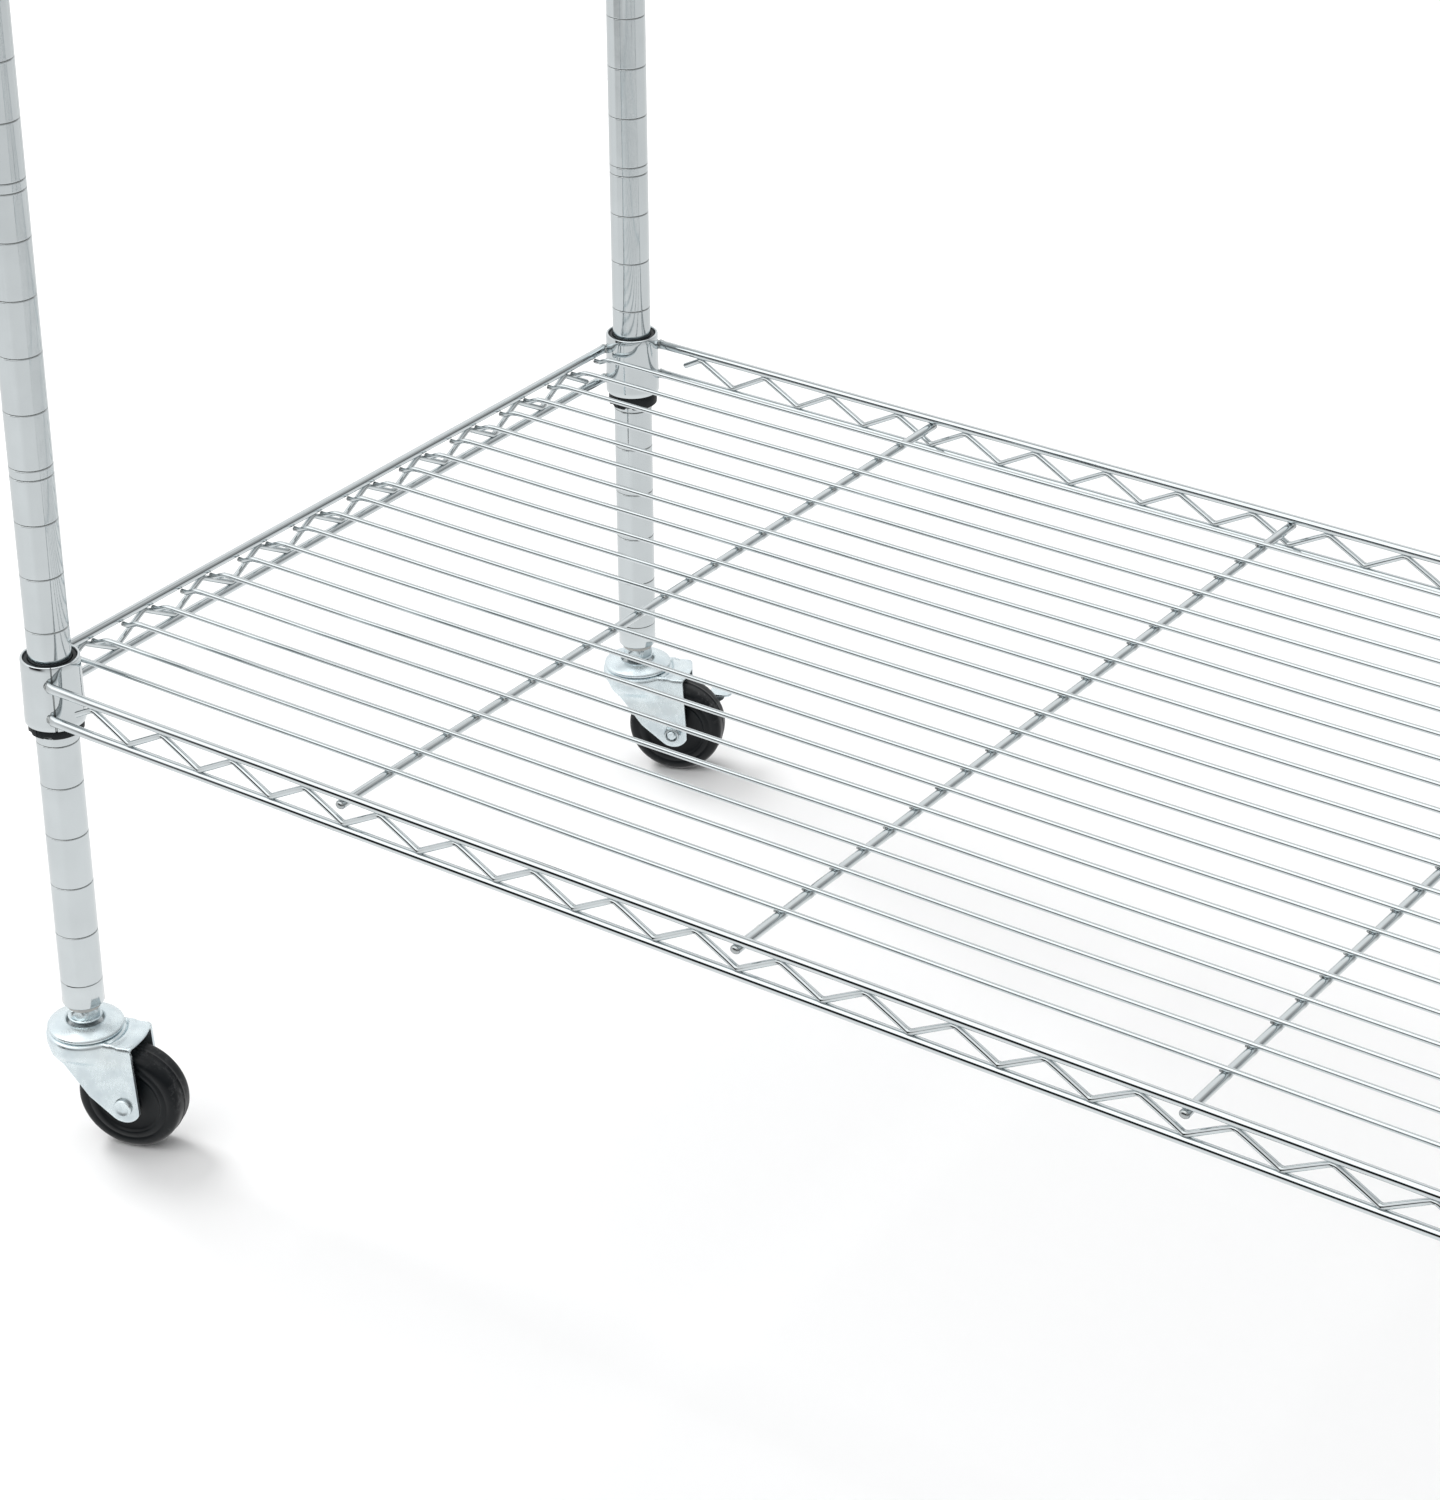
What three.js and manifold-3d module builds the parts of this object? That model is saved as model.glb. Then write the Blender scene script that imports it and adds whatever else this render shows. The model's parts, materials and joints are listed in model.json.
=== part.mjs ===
// Rolling clothes rack: two welded wire shelves on four grooved posts, a hanging rail under the
// upper shelf, and four swivel casters, two of them with a brake lever.
// Millimetres, +Z up, X along the long side, -Y the front. The origin is on the floor, under the middle.

import * as THREE from 'three';
import { mergeVertices } from 'three/addons/utils/BufferGeometryUtils.js';
import Module from 'manifold-3d';

const wasm = await Module();
wasm.setup();

// ---- driving dimensions ----------------------------------------------------------------------

const GAP = 0.3;                    // clearance between neighbouring solids
const HEIGHT = 1800;                // floor to the top of the post caps
const SPAN_X = 1129;                // post centre to post centre, long side
const SPAN_Y = 423;                 // post centre to post centre, short side
const GROOVE_PITCH = 25.4;          // the shelves stand on grooves this far apart

const POST = { radius: 9.525, wall: 1.2, bottom: 71.5 };
const CAP = { radius: 9.6, rise: 4.5, plug: 12 };
const INSERT = { bore: 5, below: 2.6, above: 22 };

const FRAME_WIRE = 4.3;             // wire of the perimeter trusses
const RIB_WIRE = 4.2;               // wire of the ribs under the deck
const DECK_WIRE = 2.4;
const SNAKE_WIRE = 2.8;
const SHELF = { lower: 238.5, rise: 60 * GROOVE_PITCH, truss: 16, frontOffset: 11.5, sideOffset: 11 };
const SNAKE = { longPitch: 39.25, sidePitch: 38.8, longStart: 15, sideStart: 12, apex: 5.3 };
const DECK = { wires: 21, pitch: 19.4, drop: 1, dip: 2.65, dipRun: 8 };
const RIBS = { count: 5, pitch: 5 * SNAKE.longPitch, drop: 3.9, overhang: 2.5, flattened: 6 };
const COLLAR = { above: 8.5, below: 22.5, top: 13, bottom: 13.4, wall: 1.3 };
const SLEEVE = { recess: 0.8, belowFront: 4.5, belowBack: 7, split: 0.4 };   // the back ones sit lower

const RAIL = { radius: 11, wall: 1.2, drop: 75 };
const HOOK = { plate: 2.5, width: 30, prong: 9, strap: 2, lip: 6, cup: 2.1, cupDepth: 14 };

const WHEEL = { radius: 25, halfWidth: 8.5, hubRadius: 6.5, hubHalf: 9.9, bore: 3.3, trail: 21 };
const FORK = {
  crownRadius: 18.2, top: 57.4, sheet: 2.4, skirt: 5,
  outer: 12.5, side: 1.8, rear: 26.5, boss: 8.2,
};
const STEM = {
  bolt: 4.7, hexRadius: 7.5, hexHeight: 4.4, washer: 7.8, washerHeight: 0.9, neck: 5.6,
  race: 17.4, raceHeight: 4.7, crest: 9.6, recess: 8.2, recessFloor: 2,
};
const LEVER = {
  sheet: 1.6, eye: 6.5, end: 3,
  reach: 21.5, rise: 10,          // the arm's end from the axle's centre
  padFrom: 36, padTo: 48, padHalf: 4.4, padUnder: 37,
};

const TRAIL_ANGLES = { fl: 18.5, bl: 23.5, fr: 218.8, br: 161.5 };   // degrees from +X, as they stand
const BRAKED = ['bl', 'br'];

const CORNERS = {
  fl: [-SPAN_X / 2, -SPAN_Y / 2],
  fr: [SPAN_X / 2, -SPAN_Y / 2],
  bl: [-SPAN_X / 2, SPAN_Y / 2],
  br: [SPAN_X / 2, SPAN_Y / 2],
};

// ---- materials -------------------------------------------------------------------------------

const material = (color, roughness, metalness) =>
  new THREE.MeshStandardMaterial({ color, roughness, metalness });

const chrome = () => material(0xd9dadc, 0.15, 1);
const zinc = () => material(0xb9c4c6, 0.35, 0.9);
const blackPlastic = () => material(0x1a1a1b, 0.55, 0);
const rubber = () => material(0x17181a, 0.6, 0);
const greyPlastic = () => material(0xc9cac8, 0.5, 0);

// ---- geometry helpers ------------------------------------------------------------------------

// A solid turned about +Z from [radius, z] points, listed upwards along the outside.
function turned(profile, segments) {
  const points = profile.map(([radius, z]) => new THREE.Vector2(radius, z));
  return new THREE.LatheGeometry(points, segments).rotateX(Math.PI / 2);
}

function ring(inner, outer, bottom, top, segments) {
  return turned([[inner, bottom], [outer, bottom], [outer, top], [inner, top], [inner, bottom]], segments);
}

function rod(radius, bottom, top, segments) {
  return turned([[0, bottom], [radius, bottom], [radius, top], [0, top]], segments);
}

// The same turned shape with its axis along Y.
const alongY = (geometry) => geometry.rotateX(-Math.PI / 2);

// A block from its lower to its upper corner.
function block(low, high) {
  const size = high.map((value, i) => value - low[i]);
  const middle = high.map((value, i) => (value + low[i]) / 2);
  return new THREE.BoxGeometry(...size).translate(...middle);
}

// An outline in X and Z, given a thickness centred on Y = 0.
function plateXZ(shape, thickness, curveSegments = 8) {
  const geometry = new THREE.ExtrudeGeometry(shape, { depth: thickness, bevelEnabled: false, curveSegments });
  return geometry.rotateX(Math.PI / 2).translate(0, thickness / 2, 0);
}

function solidOf(geometry) {
  geometry.deleteAttribute('normal');
  geometry.deleteAttribute('uv');
  const merged = mergeVertices(geometry, 1e-4);
  const index = merged.index.array;
  const triangles = [];
  for (let i = 0; i < index.length; i += 3) {
    const [a, b, c] = [index[i], index[i + 1], index[i + 2]];
    if (a !== b && b !== c && a !== c) triangles.push(a, b, c);
  }
  return new wasm.Manifold(new wasm.Mesh({
    numProp: 3,
    vertProperties: new Float32Array(merged.attributes.position.array),
    triVerts: new Uint32Array(triangles),
  }));
}

function geometryOf(solid) {
  const mesh = solid.getMesh();
  const geometry = new THREE.BufferGeometry();
  geometry.setAttribute('position', new THREE.BufferAttribute(mesh.vertProperties, 3));
  geometry.setIndex(new THREE.BufferAttribute(mesh.triVerts, 1));
  geometry.computeVertexNormals();
  return geometry;
}

function join(first, ...others) {
  return geometryOf(others.reduce((solid, other) => solid.add(solidOf(other)), solidOf(first)));
}

function cut(body, ...tools) {
  return geometryOf(tools.reduce((solid, tool) => solid.subtract(solidOf(tool)), solidOf(body)));
}

const overlap = (first, second) => geometryOf(solidOf(first).intersect(solidOf(second)));

const rack = new THREE.Group();

function addPart(name, geometry, look, parent = rack) {
  const mesh = new THREE.Mesh(geometry, look);
  mesh.name = name;
  parent.add(mesh);
  return mesh;
}

// ---- posts -----------------------------------------------------------------------------------

const postTop = HEIGHT - CAP.rise;
const postBore = POST.radius - POST.wall;

function capGeometry() {
  const plugRadius = postBore - GAP;
  return turned([
    [0, -CAP.plug], [plugRadius, -CAP.plug], [plugRadius, GAP], [CAP.radius, GAP],
    [CAP.radius, 1.8], [6, 4], [0, CAP.rise],
  ], 14);
}

function addPosts() {
  for (const [corner, [x, y]] of Object.entries(CORNERS)) {
    const tube = ring(postBore, POST.radius, POST.bottom, postTop, 16);
    addPart(`post_${corner}`, tube, chrome()).position.set(x, y, 0);
    addPart(`cap_${corner}`, capGeometry(), blackPlastic()).position.set(x, y, postTop);
    const insert = ring(INSERT.bore, postBore - GAP, -INSERT.below, INSERT.above, 16);
    addPart(`insert_${corner}`, insert, greyPlastic()).position.set(x, y, POST.bottom);
  }
}

// ---- shelves ---------------------------------------------------------------------------------

// The zigzag wire between a truss's two wires: straight legs from foot to foot, a half pitch apart.
function zigzag(footStart, legs, step) {
  const middle = -SHELF.truss / 2;
  const halfHeight = SNAKE_WIRE / 2 * Math.hypot(1, 2 * SNAKE.apex / step);
  const apex = (i) => [footStart + i * step, middle + (i % 2 === 0 ? -SNAKE.apex : SNAKE.apex)];
  const shape = new THREE.Shape();
  shape.moveTo(footStart, middle - SNAKE.apex - halfHeight);
  for (let i = 1; i <= legs; i++) {
    const [x, z] = apex(i);
    shape.lineTo(x, z - halfHeight);
  }
  for (let i = legs; i >= 0; i--) {
    const [x, z] = apex(i);
    shape.lineTo(x, z + halfHeight);
  }
  return plateXZ(shape, SNAKE_WIRE);
}

// A truss along X from start to end, its top wire at z = 0: two wires joined by a zigzag wire.
function truss(start, end, footStart, step) {
  const half = FRAME_WIRE / 2;
  const topWire = block([start, -half, -half], [end, half, half]);
  const bottomWire = block([start, -half, -SHELF.truss - half], [end, half, -SHELF.truss + half]);
  const legs = 2 * Math.floor((end - footStart) / step / 2);
  return join(topWire, bottomWire, zigzag(footStart, legs, step));
}

// A long-side truss, clear of the collars at both ends.
function longTruss() {
  const inside = SHELF.frontOffset - FRAME_WIRE / 2;
  const start = Math.sqrt((COLLAR.bottom + GAP) ** 2 - inside ** 2) + 0.1;
  return truss(start, SPAN_X - start, SNAKE.longStart, SNAKE.longPitch / 2).translate(-SPAN_X / 2, 0, 0);
}

function collar() {
  const bottom = -COLLAR.below;
  return turned([
    [COLLAR.bottom - COLLAR.wall, bottom], [COLLAR.bottom, bottom],
    [COLLAR.top, COLLAR.above], [COLLAR.top - COLLAR.wall, COLLAR.above],
    [COLLAR.bottom - COLLAR.wall, bottom],
  ], 20);
}

// A short-side truss with the two collars that it is welded to. Its wires are at x = -sideOffset.
function endFrame() {
  const start = 9;
  const side = truss(start, SPAN_Y - start, SNAKE.sideStart, SNAKE.sidePitch / 2);
  side.rotateZ(Math.PI / 2).translate(-SHELF.sideOffset, -SPAN_Y / 2, 0);
  const front = collar().translate(0, -SPAN_Y / 2, 0);
  const back = collar().translate(0, SPAN_Y / 2, 0);
  return join(side, front, back);
}

// One deck wire: level over the ribs, its ends bent down to pass under the side wires.
function deckWire() {
  const half = DECK_WIRE / 2;
  const end = SPAN_X / 2 + SHELF.sideOffset - SNAKE_WIRE / 2 - GAP;
  const bend = end - DECK.dipRun;
  const outline = [[-end, -DECK.dip], [-bend, 0], [bend, 0], [end, -DECK.dip]];
  const shape = new THREE.Shape();
  outline.forEach(([x, z], i) => (i === 0 ? shape.moveTo(x, z - half) : shape.lineTo(x, z - half)));
  outline.reverse().forEach(([x, z]) => shape.lineTo(x, z + half));
  return plateXZ(shape, DECK_WIRE).translate(0, 0, -DECK.drop);
}

// One rib: a straight wire, flattened where it passes under the front and back wires.
function rib() {
  const half = RIB_WIRE / 2;
  const end = SPAN_Y / 2 + SHELF.frontOffset + RIBS.overhang;
  const flat = end - RIBS.overhang - RIBS.flattened;
  const under = -FRAME_WIRE / 2 - GAP;
  const bottom = -RIBS.drop - half;
  const shape = new THREE.Shape();
  const side = [[-end, bottom], [end, bottom], [end, under], [flat, under], [flat - 1, bottom + RIB_WIRE],
    [1 - flat, bottom + RIB_WIRE], [-flat, under], [-end, under]];
  side.forEach(([y, z], i) => (i === 0 ? shape.moveTo(y, z) : shape.lineTo(y, z)));
  return plateXZ(shape, RIB_WIRE).rotateZ(Math.PI / 2);
}

function deck() {
  const wires = [];
  for (let i = 0; i < DECK.wires; i++) {
    wires.push(deckWire().translate(0, (i - (DECK.wires - 1) / 2) * DECK.pitch, 0));
  }
  const ribs = [];
  for (let i = 0; i < RIBS.count; i++) {
    ribs.push(rib().translate((i - (RIBS.count - 1) / 2) * RIBS.pitch, 0, 0));
  }
  return join(...ribs, ...wires);
}

// Half of the tapered sleeve between a post and a collar. side is 1 for the half at +X, and below is
// how far it stands out under the collar.
function sleeveHalf(side, below) {
  const bottom = -COLLAR.below - below;
  const top = COLLAR.above - SLEEVE.recess;
  const bore = POST.radius + GAP;
  const outerAtTop = COLLAR.top - COLLAR.wall - GAP;
  const outerAtBottom = COLLAR.bottom - COLLAR.wall - GAP;
  const whole = turned([
    [bore, bottom], [outerAtBottom, bottom], [outerAtBottom, -COLLAR.below], [outerAtTop, top], [bore, top],
    [bore, bottom],
  ], 16);
  const near = side * SLEEVE.split / 2;
  const far = side * 20;
  return overlap(whole, block([Math.min(near, far), -20, bottom - 1], [Math.max(near, far), 20, top + 1]));
}

function addShelf(name, topWire) {
  const frontY = SPAN_Y / 2 + SHELF.frontOffset;
  addPart(`${name}_front_truss`, longTruss(), chrome()).position.set(0, -frontY, topWire);
  addPart(`${name}_back_truss`, longTruss(), chrome()).position.set(0, frontY, topWire);
  addPart(`${name}_left_end`, endFrame(), chrome()).position.set(-SPAN_X / 2, 0, topWire);
  const right = addPart(`${name}_right_end`, endFrame(), chrome());
  right.position.set(SPAN_X / 2, 0, topWire);
  right.rotation.z = Math.PI;
  addPart(`${name}_deck`, deck(), chrome()).position.set(0, 0, topWire);
  for (const [corner, [x, y]] of Object.entries(CORNERS)) {
    const below = y < 0 ? SLEEVE.belowFront : SLEEVE.belowBack;
    addPart(`sleeve_${name}_${corner}_a`, sleeveHalf(-1, below), blackPlastic()).position.set(x, y, topWire);
    addPart(`sleeve_${name}_${corner}_b`, sleeveHalf(1, below), blackPlastic()).position.set(x, y, topWire);
  }
}

// ---- hanging rail ----------------------------------------------------------------------------

// The hook at the left end, its plate just inside the side wires. Its two prongs pass between the
// deck wires and over the side top wire. z = 0 is the top wire, x = 0 the plate's outer face.
function railHook() {
  const wireOutside = -GAP - FRAME_WIRE - GAP;
  const strapBottom = FRAME_WIRE / 2 + GAP;
  const strapTop = strapBottom + HOOK.strap;
  const plateTop = -DECK.drop - DECK.dip - DECK_WIRE / 2 - GAP;
  const half = HOOK.width / 2;
  const cupOuter = RAIL.radius + GAP + HOOK.cup;
  const plateBottom = -RAIL.drop - cupOuter - 1;
  const pieces = [block([0, -half, plateBottom], [HOOK.plate, half, plateTop])];
  for (const side of [-1, 1]) {
    const middle = side * DECK.pitch / 2;
    const low = middle - HOOK.prong / 2;
    const high = middle + HOOK.prong / 2;
    const lipFace = wireOutside - HOOK.strap;
    pieces.push(block([0.2, low, plateTop - 1], [HOOK.plate - 0.2, high, strapTop - 0.2]));
    pieces.push(block([lipFace + 0.2, low, strapBottom], [HOOK.plate, high, strapTop]));
    pieces.push(block([lipFace, low, strapTop - HOOK.lip], [wireOutside, high, strapTop - 0.2]));
  }
  const cup = ring(RAIL.radius + GAP, cupOuter, HOOK.plate - 0.5, HOOK.plate + HOOK.cupDepth, 20);
  pieces.push(cup.rotateY(Math.PI / 2).translate(0, 0, -RAIL.drop));
  return join(...pieces);
}

function addRail(topWire) {
  const plateX = SPAN_X / 2 + SHELF.sideOffset - FRAME_WIRE / 2 - GAP;
  const railEnd = plateX - HOOK.plate - GAP;
  const tube = ring(RAIL.radius - RAIL.wall, RAIL.radius, -railEnd, railEnd, 20).rotateY(Math.PI / 2);
  addPart('hanging_rail', tube, chrome()).position.set(0, 0, topWire - RAIL.drop);
  addPart('rail_hook_left', railHook(), chrome()).position.set(-plateX, 0, topWire);
  const right = addPart('rail_hook_right', railHook(), chrome());
  right.position.set(plateX, 0, topWire);
  right.rotation.z = Math.PI;
}

// ---- casters ---------------------------------------------------------------------------------
// Each is built with its swivel axis on Z and its wheel trailing towards +X.

// The threaded stem with its hexagon, washer and domed upper raceway. It stays fixed to the post.
function casterStem() {
  const race = FORK.top + GAP;
  const crest = race + STEM.raceHeight;
  const rivetTop = FORK.top - FORK.sheet - GAP;
  const hexTop = POST.bottom - INSERT.below - GAP;
  const hexBottom = hexTop - STEM.hexHeight;
  const washerBottom = hexBottom - STEM.washerHeight;
  const top = POST.bottom + INSERT.above - 2;
  const body = turned([
    [0, rivetTop - 1.8], [6.5, rivetTop - 1.8], [6.5, rivetTop], [4.6, rivetTop], [4.6, race],
    [STEM.race - 1, race], [STEM.race, race + 0.8], [STEM.race, race + 1.6],
    [14.5, crest - 1], [STEM.crest, crest],
    [STEM.recess, crest - 1.2], [STEM.recess, race + STEM.recessFloor], [STEM.neck, race + STEM.recessFloor],
    [STEM.neck, washerBottom], [STEM.washer, washerBottom], [STEM.washer, hexBottom], [STEM.bolt, hexBottom],
    [STEM.bolt, top], [0, top],
  ], 18);
  return join(body, rod(STEM.hexRadius, hexBottom - 0.2, hexTop, 6));
}

// A side plate of the fork: sloping front edge, round boss at the axle, upright rear edge.
function forkPlate() {
  const centre = [WHEEL.trail, WHEEL.radius];
  const shape = new THREE.Shape();
  const tangent = 1.28 * Math.PI;
  const top = FORK.top - 0.4;
  shape.moveTo(-13, top);
  shape.lineTo(-13, top - FORK.skirt);
  shape.lineTo(4.5, 28);
  shape.lineTo(centre[0] + FORK.boss * Math.cos(tangent), centre[1] + FORK.boss * Math.sin(tangent));
  shape.absarc(centre[0], centre[1], FORK.boss, tangent, 2 * Math.PI - 0.3, false);
  shape.lineTo(FORK.rear, top);
  return shape;
}

// The stamped fork: round crown with a short skirt, a flat mudguard behind it and two side plates.
function casterFork() {
  const under = FORK.top - FORK.sheet;
  const crown = turned([
    [STEM.bolt + 0.2, under], [FORK.crownRadius - 1.7, under],
    [FORK.crownRadius - 1.7, FORK.top - FORK.skirt],
    [FORK.crownRadius, FORK.top - FORK.skirt], [FORK.crownRadius, FORK.top - 0.9],
    [FORK.crownRadius - 0.9, FORK.top], [STEM.bolt + 0.2, FORK.top], [STEM.bolt + 0.2, under],
  ], 24);
  const guard = block([9, -FORK.outer + 0.3, under + 0.2], [FORK.rear, FORK.outer - 0.3, FORK.top - 0.3]);
  const plateY = FORK.outer - FORK.side / 2;
  const left = plateXZ(forkPlate(), FORK.side, 8).translate(0, plateY, 0);
  const right = plateXZ(forkPlate(), FORK.side, 8).translate(0, -plateY, 0);
  const hole = alongY(rod(WHEEL.bore, -20, 20, 12)).translate(WHEEL.trail, 0, WHEEL.radius);
  return cut(join(crown, guard, left, right), hole);
}

function casterWheel() {
  const side = WHEEL.halfWidth;
  const half = [
    [WHEEL.bore, WHEEL.hubHalf], [WHEEL.hubRadius, WHEEL.hubHalf], [WHEEL.hubRadius + 0.6, side - 1],
    [15.5, side - 1], [17, side], [23, side], [WHEEL.radius, side - 2.5],
  ];
  const lower = half.map(([radius, y]) => [radius, -y]);
  const profile = [...lower, ...half.slice().reverse(), lower[0]];
  return alongY(turned(profile, 24));
}

// The wheel's axle: a rivet, or on a braked caster a bolt whose head also holds the lever at +Y.
function axle(braked) {
  const shank = WHEEL.bore - GAP;
  const face = FORK.outer + GAP;
  if (!braked) {
    return alongY(turned([
      [0, -face - 2], [2.8, -face - 1.7], [4.3, -face - 0.5], [4.3, -face], [shank, -face],
      [shank, face], [4.3, face], [4.3, face + 0.5], [2.8, face + 1.7], [0, face + 2],
    ], 12));
  }
  const underHead = face + LEVER.sheet + GAP;
  const bolt = rod(shank, -face - 0.5, underHead + 0.5, 12);
  const head = rod(5, underHead, underHead + 2.4, 6);
  const nut = rod(4.6, -face - 2.6, -face, 6);
  const threadEnd = rod(2.4, -face - 3.6, -face - 0.4, 12);
  return alongY(join(bolt, head, nut, threadEnd));
}

// The brake lever: a flat arm outside the side plate at +Y, its eye round the axle bolt, with a
// level foot pad across its end that stands out behind the wheel.
function brakeLever() {
  const [x, z] = [WHEEL.trail, WHEEL.radius];
  const lean = Math.atan2(LEVER.rise, LEVER.reach);
  const spread = Math.acos((LEVER.eye - LEVER.end) / Math.hypot(LEVER.reach, LEVER.rise));
  const shape = new THREE.Shape();
  shape.absarc(x, z, LEVER.eye, lean + spread, lean - spread + 2 * Math.PI, false);
  shape.absarc(x + LEVER.reach, z + LEVER.rise, LEVER.end, lean - spread, lean + spread, false);
  const y = FORK.outer + GAP + LEVER.sheet / 2;
  const arm = plateXZ(shape, LEVER.sheet, 16).translate(0, y, 0);
  const padTop = LEVER.padUnder + LEVER.sheet;
  const tip = LEVER.padTo - LEVER.padHalf;
  const pad = block([LEVER.padFrom, y - LEVER.padHalf, LEVER.padUnder], [tip, y + LEVER.padHalf, padTop]);
  const round = rod(LEVER.padHalf, LEVER.padUnder, padTop, 24).translate(tip, y, 0);
  return cut(join(arm, pad, round), alongY(rod(WHEEL.bore, -20, 20, 12)).translate(x, 0, z));
}

function addCasters() {
  for (const [corner, [x, y]] of Object.entries(CORNERS)) {
    const braked = BRAKED.includes(corner);
    const swivel = new THREE.Group();
    swivel.position.set(x, y, 0);
    swivel.rotation.z = THREE.MathUtils.degToRad(TRAIL_ANGLES[corner]);
    rack.add(swivel);
    addPart(`caster_${corner}_stem`, casterStem(), zinc(), swivel);
    addPart(`caster_${corner}_fork`, casterFork(), zinc(), swivel);
    const wheel = addPart(`caster_${corner}_wheel`, casterWheel(), rubber(), swivel);
    wheel.position.set(WHEEL.trail, 0, WHEEL.radius);
    const bolt = addPart(`caster_${corner}_axle`, axle(braked), zinc(), swivel);
    bolt.position.set(WHEEL.trail, 0, WHEEL.radius);
    if (braked) addPart(`caster_${corner}_brake`, brakeLever(), zinc(), swivel);
  }
}

addPosts();
addShelf('lower', SHELF.lower);
addShelf('upper', SHELF.lower + SHELF.rise);
addRail(SHELF.lower + SHELF.rise);
addCasters();

export default rack;
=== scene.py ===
import json
import math
import random

import bpy
from mathutils import Matrix, Vector


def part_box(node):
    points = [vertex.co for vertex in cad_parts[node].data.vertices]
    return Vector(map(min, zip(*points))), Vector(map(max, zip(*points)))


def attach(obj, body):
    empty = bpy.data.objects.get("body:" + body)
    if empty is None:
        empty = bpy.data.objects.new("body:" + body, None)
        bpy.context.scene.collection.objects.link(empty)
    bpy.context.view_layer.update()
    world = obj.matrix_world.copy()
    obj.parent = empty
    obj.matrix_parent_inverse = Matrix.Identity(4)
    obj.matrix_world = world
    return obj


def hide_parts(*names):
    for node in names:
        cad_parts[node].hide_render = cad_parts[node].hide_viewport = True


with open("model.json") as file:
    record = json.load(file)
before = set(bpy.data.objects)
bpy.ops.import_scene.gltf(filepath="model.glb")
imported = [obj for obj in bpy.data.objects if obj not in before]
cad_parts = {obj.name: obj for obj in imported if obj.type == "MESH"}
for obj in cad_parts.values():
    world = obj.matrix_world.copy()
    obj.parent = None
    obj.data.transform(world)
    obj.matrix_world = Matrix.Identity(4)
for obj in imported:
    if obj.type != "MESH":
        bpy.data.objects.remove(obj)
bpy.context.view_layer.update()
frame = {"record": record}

# Rolling clothes rack. Everything is in metres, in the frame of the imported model: +Z up, X along the
# long side, -Y the front. Each CAD node is replaced by a finely made piece that rides on its body.

MM = 0.001
TAU = 2 * math.pi
UP = Vector((0, 0, 1))

CORNERS = ("fl", "fr", "bl", "br")
SHELVES = ("lower", "upper")
BRAKED = ("bl", "br")

GROOVE_PITCH = 25.4 * MM
FIRST_GROOVE = 83.8 * MM            # height of the lowest groove above the floor
DOUBLE_EVERY = 5                    # every fifth groove has a second one just below it
DOUBLE_GAP = 4.4 * MM
GROOVE_DEPTH = 0.42 * MM
GROOVE_HALF = 0.36 * MM
FAINT_GROOVE = 0.3                  # depth of the lowest groove, as a part of GROOVE_DEPTH
PLAIN_TOP = 8 * MM                  # no groove within this length of a post's top
# (height, depth) across a groove, as parts of GROOVE_HALF and GROOVE_DEPTH
GROOVE_SHAPE = ((-1.8, 0), (-1.3, 0), (-1, 0.06), (-0.6, 0.5), (-0.2, 0.95),
                (0.2, 0.95), (0.6, 0.5), (1, 0.06), (1.3, 0), (1.8, 0))

TRUSS_RADIUS = 2.15 * MM            # top and bottom wires of a shelf's sides

SNAKE_RADIUS = 1.4 * MM
SNAKE_APEX = 5.3 * MM               # zigzag centre line, above and below the truss's middle
SNAKE_BEND = 3.2 * MM
LONG_FOOT, LONG_STEP = 15 * MM, 19.625 * MM
SIDE_FOOT, SIDE_STEP = 12 * MM, 19.4 * MM
LONG_STUB, SIDE_STUB = 0.5, 0.93    # what is left of a zigzag's first and last legs

DECK_WIRES = 21
DECK_PITCH = 19.4 * MM
DECK_RADIUS = 1.2 * MM
DECK_DROP = 1.0 * MM                # deck wire centre under the top wire's centre
DECK_DIP = 2.65 * MM
RIBS = 5
RIB_PITCH = 196.25 * MM
RIB_RADIUS = 2.1 * MM
RIB_DROP = 3.9 * MM

random.seed(11)


# ---- mesh making -----------------------------------------------------------------------------

def clamp(value):
    return max(0, min(1, value))


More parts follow.
